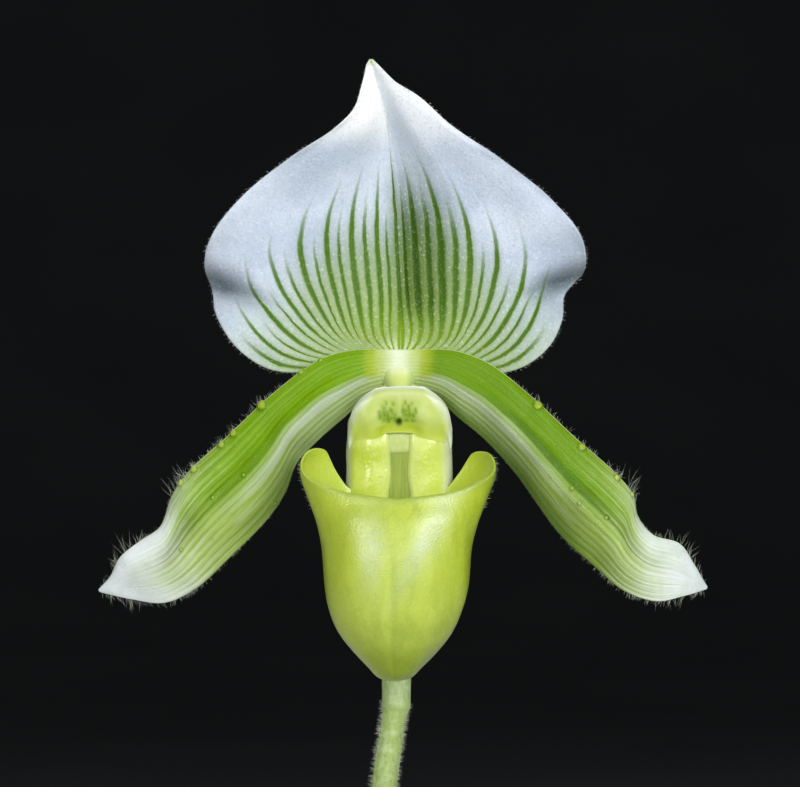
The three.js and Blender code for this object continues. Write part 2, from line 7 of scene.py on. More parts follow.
import bpy
import numpy as np
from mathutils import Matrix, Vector


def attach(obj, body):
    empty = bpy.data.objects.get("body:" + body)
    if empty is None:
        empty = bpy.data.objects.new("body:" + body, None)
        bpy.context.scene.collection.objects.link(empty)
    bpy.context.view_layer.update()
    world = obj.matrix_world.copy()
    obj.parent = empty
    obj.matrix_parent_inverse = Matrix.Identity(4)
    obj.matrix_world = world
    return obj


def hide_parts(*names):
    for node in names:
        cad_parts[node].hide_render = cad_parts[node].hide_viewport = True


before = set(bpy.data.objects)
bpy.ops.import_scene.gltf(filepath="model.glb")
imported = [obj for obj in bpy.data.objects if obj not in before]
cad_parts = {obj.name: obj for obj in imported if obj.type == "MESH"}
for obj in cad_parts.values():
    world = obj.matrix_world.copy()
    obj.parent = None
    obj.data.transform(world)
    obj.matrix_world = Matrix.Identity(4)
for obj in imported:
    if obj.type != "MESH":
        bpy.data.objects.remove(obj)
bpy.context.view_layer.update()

MM = 0.001
FLOWER = np.array([0, -8, 320.0])
UP = np.array([0, 0, 1.0])
VIEWER = np.array([0, -1.0, 0])
FULL_TURN = 2 * np.pi
RIPPLE_WAVES, RIPPLE_SCALE = 7, 3.2
TUBE_REFERENCE = [0.31, 0.95, 0.07]
# The hairs' radii.
FINE_HAIR, PETAL_HAIR, STEM_HAIR = 0.018, 0.016, 0.025


# Curves and surfaces.
def hermite(at, values, x):
    """Smooth values at x through stations, flat outside them. A value may be an array."""
    at, values = np.asarray(at, float), np.asarray(values, float)
    x = np.clip(np.asarray(x, float), at[0], at[-1])
    i = np.clip(np.searchsorted(at, x) - 1, 0, len(at) - 2)
    low, high = np.maximum(i - 1, 0), np.minimum(i + 2, len(at) - 1)
    column = (...,) + (None,) * (values.ndim - 1)
    span = (at[i + 1] - at[i])[column]
    before = (values[i + 1] - values[low]) / (at[i + 1] - at[low])[column]
    after = (values[high] - values[i]) / (at[high] - at[i])[column]
    u = (x - at[i])[column] / span
    return (
        values[i] * (2 * u**3 - 3 * u**2 + 1)
        + values[i + 1] * (3 * u**2 - 2 * u**3)
        + before * span * (u**3 - 2 * u**2 + u)
        + after * span * (u**3 - u**2)
    )


def through(stations, x):
    """Smooth values at x through [place, value] stations."""
    return hermite([s[0] for s in stations], [s[1] for s in stations], x)


def polyline(points, steps=24):
    """A finely stepped smooth curve through points."""
    p = np.asarray(points, float)
    p = np.vstack([2 * p[0] - p[1], p, 2 * p[-1] - p[-2]])
    gap = np.sqrt(np.linalg.norm(np.diff(p, axis=0), axis=1))
    w = np.linspace(0, 1, steps, endpoint=False)[:, None]
    fine = []
    for i in range(1, len(p) - 2):
        a, b, c = gap[i - 1 : i + 2]
        leave = (p[i] - p[i - 1]) / a - (p[i + 1] - p[i - 1]) / (a + b) + (p[i + 1] - p[i]) / b
        arrive = (p[i + 1] - p[i]) / b - (p[i + 2] - p[i]) / (b + c) + (p[i + 2] - p[i + 1]) / c
        fine.append(
            p[i] * (2 * w**3 - 3 * w**2 + 1)
            + p[i + 1] * (3 * w**2 - 2 * w**3)
            + b * leave * (w**3 - 2 * w**2 + w)
            + b * arrive * (w**3 - w**2)
        )
    return np.vstack([*fine, p[-2:-1]])


def lengths(fine):
    """The length along a polyline up to each of its points."""
    return np.concatenate([[0], np.cumsum(np.linalg.norm(np.diff(fine, axis=0), axis=1))])


def curve(points, share):
    """Places at shares of the length of a smooth curve through points."""
    fine = polyline(points)
    length = lengths(fine)
    at = np.asarray(share) * length[-1]
    return np.stack([np.interp(at, length, fine[:, k]) for k in range(3)], -1)


def unit(v):
    return v / np.maximum(np.linalg.norm(v, axis=-1, keepdims=True), 1e-9)


def bell(x, centre, width):
    """A smooth hump of height 1."""
    return np.exp(-(((x - centre) / width) ** 2))


def ease(x, low, high):
    """From 0 at low to 1 at high, smoothly. low may be the larger one."""
    u = np.clip((x - low) / (high - low), 0, 1)
    return u * u * (3 - 2 * u)


def ribbed(ribs, s, t):
    """Rows along t and columns along s of the surface through rib curves."""
    lines = np.stack([curve(places, t) for _, places in ribs])
    return hermite([at for at, _ in ribs], lines, s).swapaxes(0, 1)


def facing(grid, side=1):
    """Unit normals of a grid of places, mended where its rows shrink to a point."""
    normal = np.cross(np.gradient(grid, axis=1), np.gradient(grid, axis=0))
    small = np.linalg.norm(normal, axis=-1).max(axis=1) < 1e-6
    for row in np.flatnonzero(small):
        normal[row] = normal[row - 1 if row else 1]
    return unit(normal) * side


def ripple(points, size, seed):
    """Smooth, repeatable unevenness between about -1 and 1, at a size in the points' units."""
    rng = np.random.default_rng(seed)
    total = np.zeros(np.shape(points)[:-1])
    for _ in range(RIPPLE_WAVES):
        wave = unit(rng.normal(size=3)) * rng.uniform(0.6, 1.6) * FULL_TURN / size
        total = total + np.sin(points @ wave + rng.uniform(0, FULL_TURN))
    return total / RIPPLE_SCALE


def circle(sides):
    return np.linspace(0, FULL_TURN, sides, endpoint=False)


def lathe(outline, sides):
    """Rings of points about the upright axis, one for each radius and height."""
    radius, height = np.asarray(outline, float).T[..., None]
    angle = circle(sides)
    flat = np.broadcast_to(height, (len(height), sides))
    return np.stack([radius * np.cos(angle), radius * np.sin(angle), flat], -1)


def net(rows, columns):
    """Shares across, -1 to 1, and along, 0 to 1: as two lines and as two grids."""
    s, t = np.linspace(-1, 1, columns), np.linspace(0, 1, rows)
    return s, t, *np.meshgrid(s, t)


# Meshes.
def grid_faces(rows, columns, wrap=False):
    """Quads of a grid of points, counted row by row."""
    last = columns if wrap else columns - 1
    r, c = np.meshgrid(np.arange(rows - 1), np.arange(last), indexing="ij")
    n = (c + 1) % columns
    quads = [r * columns + c, r * columns + n, (r + 1) * columns + n, (r + 1) * columns + c]
    return np.stack(quads, -1).reshape(-1, 4)


class Shape:
    """Surfaces gathered in millimetres, which become one object in metres."""

    def __init__(self):
        self.parts, self.faces, self.slots, self.count = [], [], [], 0

    def add(self, points, faces, slot=0, **values):
        """Adds points with values of their own, such as s and t, and faces among them."""
        points = np.asarray(points, float).reshape(-1, 3)
        self.parts.append((points, {k: np.broadcast_to(v, len(points)) for k, v in values.items()}))
        for group in faces:
            self.faces += (np.asarray(group) + self.count).tolist()
            self.slots += [slot] * len(group)
        self.count += len(points)

    def item(self, name, materials=(), smooth=True):
        """Makes the object. The points' values become its attributes."""
        mesh = bpy.data.meshes.new(name)
        mesh.from_pydata((np.vstack([p for p, _ in self.parts]) * MM).tolist(), [], self.faces)
        mesh.polygons.foreach_set("material_index", self.slots)
        mesh.polygons.foreach_set("use_smooth", [smooth] * len(self.faces))
        for key in sorted({k for _, values in self.parts for k in values}):
            column = [values.get(key, np.zeros(len(p))) for p, values in self.parts]
            layer = mesh.attributes.new(key, "FLOAT", "POINT")
            layer.data.foreach_set("value", np.concatenate(column).astype(np.float32))
        for material in materials:
            mesh.materials.append(material)
        mesh.update()
        item = bpy.data.objects.new(name, mesh)
        bpy.context.scene.collection.objects.link(item)
        return item

    def build(self, name, slot, *materials, nodes=()):
        """Makes the visual piece that stands for a CAD node, or for several."""
        piece = self.item(name + "_surface", materials)
        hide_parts(*(nodes or [name]))
        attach(piece, "root")
        return piece


def closed(shape, grid, slot=0, hubs=None, flip=False, **values):
    """A closed surface of rings of points, row by row, with a hub that fills each end."""
    rows, sides = grid.shape[:2]
    hubs = (grid[0].mean(axis=0), grid[-1].mean(axis=0)) if hubs is None else hubs
    total, ring = rows * sides, np.arange(sides)
    after, last = np.roll(ring, -1), total - sides
    faces = [
        grid_faces(rows, sides, wrap=True),
        np.stack([np.full(sides, total), after, ring], -1),
        np.stack([np.full(sides, total + 1), last + ring, last + after], -1),
    ]
    full = {k: np.broadcast_to(v, (rows, sides)) for k, v in values.items()}
    flat = {k: np.append(v, [v[0].mean(), v[-1].mean()]) for k, v in full.items()}
    faces = [f[:, ::-1] for f in faces] if flip else faces
    shape.add(np.vstack([grid.reshape(-1, 3), *hubs]), faces, slot, **flat)


def sheet(shape, grid, thickness, side=1, slot=0, **values):
    """A closed sheet: a grid of places with a front and a back, whose value back is 1."""
    rows, columns = grid.shape[:2]
    offset = facing(grid, side) * (np.broadcast_to(thickness, (rows, columns)) / 2)[..., None]
    quads = grid_faces(rows, columns)
    count = rows * columns
    index = np.arange(count).reshape(rows, columns)
    rim = np.concatenate([index[0], index[1:, -1], index[-1, -2::-1], index[-2:0:-1, 0]])
    after = np.roll(rim, -1)
    border = np.stack([rim, rim + count, after + count, after], -1)
    faces = [quads, quads[:, ::-1] + count, border]
    if side < 0:
        faces = [f[:, ::-1] for f in faces]
    flat = {k: np.tile(np.broadcast_to(v, (rows, columns)).ravel(), 2) for k, v in values.items()}
    flat["back"] = np.repeat([0.0, 1.0], count)
    shape.add(np.concatenate([grid + offset, grid - offset]), faces, slot, **flat)


def tube(shape, centres, radii, sides, slot=0, relief=None, **values):
    """A closed tube along centres. relief(angle, t) scales its radius."""
    along = unit(np.gradient(centres, axis=0))
    across = unit(np.cross(along, TUBE_REFERENCE))
    other = np.cross(along, across)
    angle, t = circle(sides), np.linspace(0, 1, len(centres))[:, None]
    radius = np.broadcast_to(np.asarray(radii, float)[:, None], (len(centres), sides))
    if relief:
        radius = radius * relief(angle[None, :], t)
    ring = across[:, None] * np.cos(angle)[:, None] + other[:, None] * np.sin(angle)[:, None]
    grid = centres[:, None] + ring * radius[..., None]
    closed(shape, grid, slot, (centres[0], centres[-1]), t=t, **values)


def hairs(shape, roots, directions, length, radius, seed, slot=0, curl=0.0, stray=0.28):
    """Fine tapered hairs that stand on roots: three-sided spikes, bent once where they curl."""
    rng = np.random.default_rng(seed)
    n = len(roots)
    way = unit(directions + rng.normal(scale=stray, size=(n, 3)))
    long = np.broadcast_to(length, n) * rng.uniform(0.45, 1.15, n)
    side = unit(np.cross(way, unit(rng.normal(size=(n, 3)))))
    other = np.cross(way, side)
    bend = unit(rng.normal(size=(n, 3))) * curl
    points = []
    for share, size in ((0.0, 1.0), (0.5, 0.7)) if curl else ((0.0, 1.0),):
        centre = roots + way * (long * share)[:, None] + bend * (long * share**2)[:, None]
        for k in range(3):
            a = FULL_TURN * k / 3
            points.append(centre + (side * np.cos(a) + other * np.sin(a)) * radius * size)
    points.append(roots + way * long[:, None] + bend * long[:, None])
    last = len(points) - 1
    first = (last + 1) * np.arange(n)[:, None]
    quads = [first + [k, (k + 1) % 3, 3 + (k + 1) % 3, 3 + k] for k in range(3)] if curl else []
    tips = [first + [last - 3 + k, last - 3 + (k + 1) % 3, last] for k in range(3)]
    shape.add(np.stack(points, 1), [*quads, *tips, first + [2, 1, 0]], slot)


# Materials.
def srgb(*value):
    """A colour given as 0 to 255, as Blender's linear one."""
    share = [v / 255 for v in value]
    return (*[v / 12.92 if v <= 0.04045 else ((v + 0.055) / 1.055) ** 2.4 for v in share], 1.0)


class Signal:
    """A node's output. Arithmetic on it wires more nodes."""

    def __init__(self, paint, socket):
        self.paint, self.socket = paint, socket

    def __rsub__(self, other):
        return self.paint.math("SUBTRACT", other, self)

    def __abs__(self):
        return self.paint.math("ABSOLUTE", self)

    def ease(self, low, high, to_low=0.0, to_high=1.0):
        """From to_low where this is low to to_high where it is high, smoothly."""
        return self.paint.out(
            0, "MapRange", {"interpolation_type": "SMOOTHSTEP"}, Value=self,
            From_Min=low, From_Max=high, To_Min=to_low, To_Max=to_high,
        )

    def tint(self, *layers):
        """This colour under layers of (share, red, green, blue)."""
        color = self
        for share, *shade in layers:
            color = self.paint.mix(share, color, srgb(*shade))
        return color


OPERATIONS = {
    "__add__": "ADD", "__radd__": "ADD", "__sub__": "SUBTRACT", "__mul__": "MULTIPLY",
    "__rmul__": "MULTIPLY", "__pow__": "POWER",
}
for method, operation in OPERATIONS.items():
    setattr(Signal, method, lambda self, other, kind=operation: self.paint.math(kind, self, other))


class Paint:
    """A material being wired."""

    def __init__(self, name, roughness=0.5, **settings):
        self.material = bpy.data.materials.new(name)
        self.material.use_nodes = True
        self.tree = self.material.node_tree
        self.shader = self.tree.nodes["Principled BSDF"]
        for key, value in {"roughness": roughness, **settings}.items():
            socket = key.replace("_", " ").title().replace("Ior", "IOR")
            self.shader.inputs[socket].default_value = value

    def out(self, output, kind, settings=(), **inputs):
        """An output of a new node. An input is named, or numbered as in i0."""
        made = self.tree.nodes.new("ShaderNode" + kind)
        for key, value in dict(settings).items():
            setattr(made, key, value)
        for key, value in inputs.items():
            self.feed(made.inputs[int(key[1:]) if key[1:].isdigit() else key.replace("_", " ")], value)
        return Signal(self, made.outputs[output])

    def feed(self, socket, value):
        if isinstance(value, Signal):
            self.tree.links.new(value.socket, socket)
        else:
            socket.default_value = value

    def math(self, operation, a, b=0.0, clamp=False):
        return self.out(0, "Math", {"operation": operation, "use_clamp": clamp}, i0=a, i1=b)

    def bands(self, across):
        """The distance, from 0 to 0.5, to the middle of the nearest of evenly repeated bands."""
        return abs(self.math("FRACT", across) - 0.5)

    def value(self, name):
        return self.out("Fac", "Attribute", {"attribute_name": name})

    def values(self, names):
        return [self.value(name) for name in names.split()]

    def where(self):
        return self.out("Object", "TexCoord")

    def axis(self, name):
        return self.out(name, "SeparateXYZ", Vector=self.where())

    def place(self, x, y, z=0.0):
        return self.out(0, "CombineXYZ", X=x, Y=y, Z=z)

    def noise(self, size, detail=2.0, place=None, stretch=None):
        """Noise from 0 to 1 whose lumps are about size millimetres."""
        place = place or self.where()
        if stretch:
            place = self.out(0, "Mapping", Vector=place, Scale=stretch)
        return self.out("Fac", "TexNoise", Vector=place, Scale=1 / (size * MM), Detail=detail)

    def cells(self, size, feature="F1", place=None, output="Distance"):
        """The distance to the nearest point or edge of cells about size millimetres wide."""
        place = place or self.where()
        return self.out(output, "TexVoronoi", {"feature": feature}, Vector=place, Scale=1 / (size * MM))

    def mix(self, share, a, b):
        return self.out(2, "Mix", {"data_type": "RGBA"}, Factor=share, i6=a, i7=b)

    def bump(self, *layers):
        """Stacks layers of (height from 0 to 1, depth in millimetres)."""
        under = {}
        for height, depth in layers:
            under = {"Normal": self.out(0, "Bump", Height=height, Distance=depth * MM, **under)}
        for socket in ("Normal", "Coat Normal"):
            self.feed(self.shader.inputs[socket], under["Normal"])

    def done(self, color, roughness=None):
        self.feed(self.shader.inputs["Base Color"], color)
        if roughness is not None:
            self.feed(self.shader.inputs["Roughness"], roughness)
        return self.material


def flesh(name, roughness, weight, radius, **settings):
    """A plant surface that lets a little light through."""
    soft = dict(subsurface_weight=weight, subsurface_radius=radius, subsurface_scale=MM)
    return Paint(name, roughness, **soft, **settings)


# The dorsal sepal: each stripe has a place across, the share of the length it reaches, and a width.
DORSAL_RIBS = [
    (-1, [
        [-2.2, 1.7, 0.3], [-9, 1.6, 0.2], [-15, 1.2, -1.1], [-20.5, 0.8, -0.6], [-25.4, 1.2, 2.6],
        [-28.8, 2.6, 7.8], [-29.6, 5.4, 11.4], [-30.8, 4.6, 15.6], [-29.4, 1.8, 20.4],
        [-24.6, 0.6, 26.5],
        [-17.4, -0.4, 32.2], [-10.4, -1.2, 36.7], [-7.2, -1.8, 39.8], [-5.9, -2.6, 43.6],
        [-5, -3.4, 47.1],
    ]),
    (-0.7, [
        [-1.8, 1.8, 0.8], [-8.5, 2.2, 2.2], [-15.2, 2.6, 5.4], [-20.6, 3, 11.4], [-22.6, 2.8, 18],
        [-20, 2, 25], [-12.6, 0.6, 32.4], [-6.6, -0.8, 39.2], [-4.9, -3.2, 47.2],
    ]),
    (-0.35, [
        [-1, 1.9, 1.1], [-6, 2.8, 4.2], [-9.8, 3.6, 10.4], [-11.6, 4, 17], [-11.4, 3.6, 23.6],
        [-8.6, 2.2, 31], [-4.8, 0, 38.6], [-4.8, -3, 47.3],
    ]),
    (0, [
        [0, 2, 1.2], [-0.1, 3.2, 5], [-0.4, 4.6, 11.5], [-0.8, 5.2, 18], [-1.1, 4.8, 25],
        [-1.6, 3.2, 32], [-2.4, 0.6, 39.5], [-4.5, -2.9, 47.3],
    ]),
    (0.35, [
        [1, 1.9, 1.1], [6, 2.8, 3.8], [8.8, 3.7, 9.4], [9.6, 4.2, 15.6], [9.2, 3.8, 22.2],
        [6.6, 2.4, 29.8], [1.6, 0.2, 37.2], [-4.3, -3, 47.3],
    ]),
    (0.7, [
        [1.8, 1.8, 0.8], [8.6, 2.2, 1.4], [14.6, 2.6, 5.2], [18.2, 3, 11], [19.4, 2.8, 17.4],
        [17.4, 2, 24], [11.6, 0.6, 31.2], [4, -0.8, 38.4], [-4.2, -3.2, 47.2],
    ]),
    (1, [
        [2.2, 1.7, 0.3], [8, 1.6, 0], [14, 1.2, -1.4], [19.4, 0.8, -0.2], [23.4, 1.2, 3],
        [25.4, 2.4, 7.2], [26, 5.2, 11.2], [29.1, 4.6, 15], [28.4, 1.8, 20], [24, 0.6, 25.6],
        [16, -0.4, 32], [8, -1.2, 37.4], [3, -1.8, 41.8], [-0.8, -2.6, 44], [-3.9, -3.4, 47.1],
    ]),
]
DORSAL_TIP = np.array([-4.45, -3.2, 47.3])
DORSAL_HAIRS = 900
STRIPES = [
    (-0.94, 0.32, 0.5), (-0.875, 0.4, 0.7), (-0.82, 0.3, 0.4), (-0.765, 0.47, 0.85), (-0.69, 0.36, 0.4),
    (-0.63, 0.51, 0.9), (-0.555, 0.44, 0.5), (-0.475, 0.6, 0.95), (-0.41, 0.46, 0.5),
    (-0.345, 0.66, 1.0),
    (-0.285, 0.54, 0.5), (-0.22, 0.68, 1.0), (-0.155, 0.58, 0.6), (-0.09, 0.69, 1.0),
    (-0.045, 0.5, 0.55),
    (0.01, 0.8, 1.0), (0.055, 0.6, 0.7), (0.11, 0.7, 1.1), (0.18, 0.6, 0.75), (0.245, 0.72, 1.15),
    (0.325, 0.56, 0.7), (0.4, 0.64, 1.05), (0.47, 0.43, 0.5), (0.55, 0.55, 0.95), (0.63, 0.36, 0.45),
    (0.71, 0.5, 0.85), (0.78, 0.36, 0.45), (0.845, 0.44, 0.7), (0.92, 0.3, 0.4),
]


def dorsal_paint():
    p = flesh("sepal_white_striped", 0.46, 0.05, (0.4, 0.4, 0.4), specular_ior_level=0.15)
    t, phase, back, side = p.values("t phase back s")
    valley, bright, fold = p.values("valley bright fold")
    off = p.bands(phase + ((p.noise(3) - 0.5) * 0.2 + (p.noise(0.8) - 0.5) * 0.12) + 0.5)
    share = p.math("DIVIDE", t, p.value("reach"), clamp=True)
    half = p.value("width") * ((1 - share ** 2.2 * 0.75) * t.ease(0.02, 0.22, 0.62, 1)) * 0.37 + 0.03
    stripe = off.ease(half * 1.3, half * 0.5) * share.ease(1, 0.7) * back.ease(0, 1, 1, 0.5)
    halo = off.ease(half * 2.6, 0) * share.ease(1.05, 0.5) * 0.6
    white = p.mix(p.noise(9, 3).ease(0.3, 0.7), srgb(183, 196, 214), srgb(207, 217, 232))
    field = share.ease(1, 0.5) * side.ease(0.8, 0.3) * t.ease(0.55, 0.3, 0.55, 1)
    green = p.mix(t.ease(0.04, 0.24), srgb(122, 158, 0), srgb(72, 112, 0))
    white = white.tint(
        (t.ease(0.72, 0.94) * 0.9, 240, 246, 254),
        # painted highlight: the lit upper part near the tip is painted near white
        (bright, 253, 254, 255),
        # painted shade where the margins fold back at the notches
        (fold ** 0.8 * 0.85, 92, 106, 112),
        (field * 0.7, 130, 151, 108),
        (t.ease(0.42, 0.08) * 0.8, 152, 177, 84),
        # painted shade in the trough just right of the midline, a dark green
        (valley * 0.82, 62, 90, 26),
        (t.ease(0.1, 0) * side.ease(0.6, 0.1), 226, 236, 186),
    )
    # the stripes are painted darker in that trough too, as shade
    green = green.tint((valley * 0.78, 44, 77, 0))
    white = white.tint((halo, 138, 166, 36))
    color = p.mix(stripe, white, green)
    glint_and_speck = p.noise(0.4, 1)
    grain = p.cells(0.38)
    rough = p.noise(0.5, 1).ease(0.35, 0.7, 0.34, 0.6)
    color = color.tint(
        # painted glints: small white specks between the stripes; the dark specks after them are the
        # surface's own speckle
        (glint_and_speck.ease(0.56, 0.78) * stripe.ease(0, 1, 0.3, 0.12), 244, 248, 246),
        (glint_and_speck.ease(0.46, 0.25, 0, 0.2), 116, 128, 128),
        (t.ease(0.984, 0.998) * 0.8, 206, 218, 170),
    )
    p.bump((p.noise(2.2, 3), 0.07), (grain, 0.04), (stripe, -0.04))
    return p.done(color, rough)


def make_dorsal():
    s, t, S, T = net(rows=114, columns=216)
    grid = ribbed(DORSAL_RIBS, s, t)
    depth, height = grid[..., 1], grid[..., 2]
    place = S - 0.17 * bell(T, 0, 0.16) * np.sin(np.pi * np.abs(S)) ** 0.7 * np.sign(S)
    count = len(STRIPES)
    at, reaches, widths = zip(*STRIPES)
    phase = np.interp(place, [-1.0, *at, 1.0], [-0.5, *range(count), count - 0.5])
    reach, width = (np.interp(phase, range(count), column) for column in (reaches, widths))
    middle = ease(T, 0.05, 0.25) * ease(T, 0.92, 0.55)
    soft = 0.025 + 0.11 * ease(T, 0.45, 0.65)
    off = np.hypot(S - 0.03, soft) - soft
    slope = np.where(S > 0.03, 0.13, 0.22)
    depth += 2.6 * np.exp(-off / slope) * middle
    depth -= 0.8 * bell(S, 0.34, 0.13) * middle
    crease = ease(T, 0.55, 0.8) * ease(T, 1.0, 0.93)
    depth += 0.8 * bell(S, 0.06, 0.24) * crease
    outer = ease(np.abs(S), 0.62, 1.0)
    # The notches where the margins fold back; the same mask, passed on as fold, is painted darker as
    # shade.
    notch = bell(height, 13.7 + 0.3 * S - 12 * (1 - np.abs(S)), 2.2) * ease(np.abs(S), 0.66, 0.95)
    depth += 4.4 * notch
    depth -= 1.5 * bell(height, 5.4, 3.6) * outer * ease(T, 0.1, 0.3)
    depth -= 0.9 * bell(height, 20.5, 4.0) * outer
    furrow = np.cos(2 * np.pi * phase) * ease(T, 0.02, 0.1) * ease(T, reach + 0.1, reach - 0.15)
    depth += 0.07 * furrow + 0.16 * ripple(grid, 9.0, 5) * ease(T, 0, 0.2)
    edge = ease(np.abs(S), 0.86, 1.0)
    depth += 0.35 * edge * ripple(grid, 6.0, 8) * ease(T, 0.1, 0.25) * ease(T, 1.0, 0.9)
    thick = 0.95 * (1 - 0.68 * np.abs(S) ** 5) * (1 - 0.3 * T)
    # Painted shade: the trough just right of the midline.
    valley = ease(S, -0.1, 0.08) * ease(S, 0.42, 0.1) * ease(T, 0.08, 0.22) * ease(T, 0.72, 0.4)
    # Painted highlight: the upper part near the tip, fully left of the crease and about half as much
    # right of it.
    bright = ease(S, 0.1, -0.04) * ease(height, 33.5, 39.5) * ease(T, 1.0, 0.985)
    bright = np.maximum(bright, 0.45 * ease(S, 0.2, 0.6) * ease(height, 33, 39) * ease(T, 1.0, 0.985))
    tip = np.sqrt(1 - ease(T, 0.985, 1.0) ** 2 * 0.97)[..., None]
    grid = np.where(T[..., None] > 0.985, DORSAL_TIP + (grid - DORSAL_TIP) * tip, grid)
    shape = Shape()
    values = dict(s=np.abs(S), t=T, phase=phase, reach=reach, width=width)
    sheet(shape, grid + FLOWER, thick, 1, 0, valley=valley, bright=bright, fold=notch, **values)
    rim = np.concatenate([grid[8:-2, 0], grid[8:-2, -1]]) + FLOWER
    outward = np.concatenate([grid[8:-2, 0] - grid[8:-2, 3], grid[8:-2, -1] - grid[8:-2, -4]])
    rng = np.random.default_rng(11)
    pick = rng.integers(0, len(rim), DORSAL_HAIRS)
    roots = rim[pick] + rng.normal(scale=0.12, size=(DORSAL_HAIRS, 3))
    hairs(shape, roots, unit(outward[pick]), 0.55, FINE_HAIR, 12, slot=1)
    shape.build("dorsal_sepal", "dorsal_sepal", dorsal_paint(), hair_paint)


def make_hair_paint():
    p = Paint("fine_hair", 0.35, specular_ior_level=0.5)
    shade = p.noise(2, 1)
    return p.done(p.mix(shade.ease(0.3, 0.7), srgb(232, 238, 226), srgb(206, 216, 190)))


hair_paint = make_hair_paint()


# The lower sepal.
LOWER_SEPAL_RIBS = [
    (-1, [
        [-2, 2.4, -2.2], [-5.6, 3.4, -8], [-6.8, 5, -16], [-8.6, 5.4, -25], [-6, 4.6, -33],
        [-1.1, 3.2, -39.4],
    ]),
    (0, [[0, 2, -2.6], [0, 3.8, -8], [0, 6, -16], [-0.2, 7, -25], [-0.4, 5.8, -33],
         [-0.6, 3.4, -39.8]]),
    (1, [
        [2, 2.4, -2.2], [5.6, 3.4, -8], [6.8, 5, -16], [8.2, 5.4, -25], [5.2, 4.6, -33],
        [-0.1, 3.2, -39.4],
    ]),
]


def lower_sepal_paint():
    p = flesh("sepal_pale_green_veined", 0.5, 0.3, (0.9, 1, 0.7))
    s, t = p.values("s t")
    line = p.bands(s * 6 + (p.noise(4) - 0.5) * 0.25).ease(0.2, 0.06) * t.ease(0.98, 0.6)
    ground = p.mix(t.ease(0.1, 0.9), srgb(186, 204, 138), srgb(222, 230, 208))
    color = ground.tint((line, 112, 148, 58))
    p.bump((p.noise(2, 3), 0.15), (line, -0.12))
    return p.done(color)


def make_lower_sepal():
    s, t, S, T = net(rows=110, columns=60)
    grid = ribbed(LOWER_SEPAL_RIBS, s, t)
    grid[..., 1] += 0.08 * np.cos(12 * np.pi * S) + 0.25 * ripple(grid, 9.0, 21) * ease(T, 0, 0.3)
    thick = 0.95 * (1 - 0.65 * np.abs(S) ** 4)
    shape = Shape()
    sheet(shape, grid + FLOWER, thick, -1, 0, s=S, t=T)
    shape.build("lower_sepal", "lower_sepal", lower_sepal_paint())


# The petals: an upper and a lower edge, and warts given by place across, place along and radius.
LEFT_UPPER = [
    [-3.2, -1, 2.4], [-8, -1.6, 2.2], [-12.5, -2, 0.8], [-19.4, -2.6, -4.2], [-26.9, -2.8, -11.2],
    [-33, -2.4, -16.8], [-35.4, -2, -20.4], [-37.3, -1.8, -25.2], [-40.4, -1.4, -27.4],
    [-43.6, -1, -30], [-45.2, -0.4, -33], [-47, 0.4, -35],
]
LEFT_LOWER = [
    [-3.0, 0, -4.4], [-5.8, -0.6, -5.6], [-8.8, -1, -8.2], [-12.8, -1.6, -11.7], [-16.2, -2, -15.4],
    [-17.8, -2.4, -19.6], [-20.2, -3, -23.4], [-26.9, -4, -30.3], [-31.6, -4.4, -34.6],
    [-36.4, -4, -36.9], [-41.6, -2.4, -36.5], [-46.9, 0.2, -35.5],
]
RIGHT_UPPER = [
    [3.2, -1, 2.4], [8.6, -1.6, 2.2], [13.8, -2, 0.2], [19.5, -2.6, -4.2], [27.5, -2.8, -11.6],
    [33.4, -2.4, -16.8], [36.2, -2, -20.2], [37, -1.8, -23.6], [39.4, -1.4, -26.5],
    [43.6, -1, -27.9], [45.8, -0.4, -31], [47.9, 0.4, -34.6],
]
RIGHT_LOWER = [
    [3.0, 0, -4.4], [6.2, -0.6, -5.6], [9.2, -1, -8.2], [13.4, -1.6, -11.7], [18.2, -2, -17],
    [21.6, -2.4, -21.8], [25.3, -3, -26.7], [30.4, -4, -31.4], [35, -4.4, -35.2],
    [39.8, -4, -36.7], [44, -2.4, -36], [47.8, 0.2, -35.1],
]
LEFT_WARTS = [
    (0.92, 0.349, 0.78), (0.92, 0.448, 0.6), (0.92, 0.492, 0.6), (0.92, 0.585, 0.65),
    (0.95, 0.638, 0.55),
    (0.94, 0.217, 0.42), (0.96, 0.158, 0.35), (0.09, 0.47, 0.32), (0.2, 0.569, 0.34),
    (-0.86, 0.425, 0.36),
    (-0.04, 0.715, 0.28), (0.6, 0.53, 0.25), (-0.4, 0.62, 0.22),
]
RIGHT_WARTS = [
    (0.9, 0.343, 0.74), (0.9, 0.495, 0.66), (0.93, 0.615, 0.55), (0.96, 0.674, 0.42),
    (0.01, 0.512, 0.34),
    (-0.08, 0.546, 0.3), (0.05, 0.63, 0.32), (0.5, 0.42, 0.22), (-0.2, 0.44, 0.2),
]
PETAL_JOIN = 0.05
PETAL_RIDGE = [(0, 0.6), (0.2, 2.4), (0.6, 2.6), (0.85, 0.6), (1, 0)]
UPPER_HAIR = [
    (0.15, 0.35), (0.3, 0.9), (0.36, 1.6), (0.42, 0.9), (0.6, 1.4), (0.66, 3.8), (0.71, 1.0),
    (0.8, 0.9),
    (0.87, 3.2), (0.94, 1.6), (1, 0.8),
]
LOWER_HAIR = [(0.3, 0.3), (0.6, 0.7), (0.85, 1.3), (0.93, 2.3), (1, 1.0)]


def heart(p, body, share):
    """Turns a colour cream towards the flower's middle line."""
    off = abs(p.axis("X") + (p.noise(1.6) - 0.25) * (0.9 * MM))
    body = body.tint(
        (off.ease(6.3 * MM, 3.9 * MM) * share, 160, 180, 40),
        (off.ease(4.5 * MM, 2.1 * MM) * share, 190, 207, 128),
    )
    return body.tint((off.ease(2.7 * MM, 0.1 * MM) * share, 228, 238, 208))


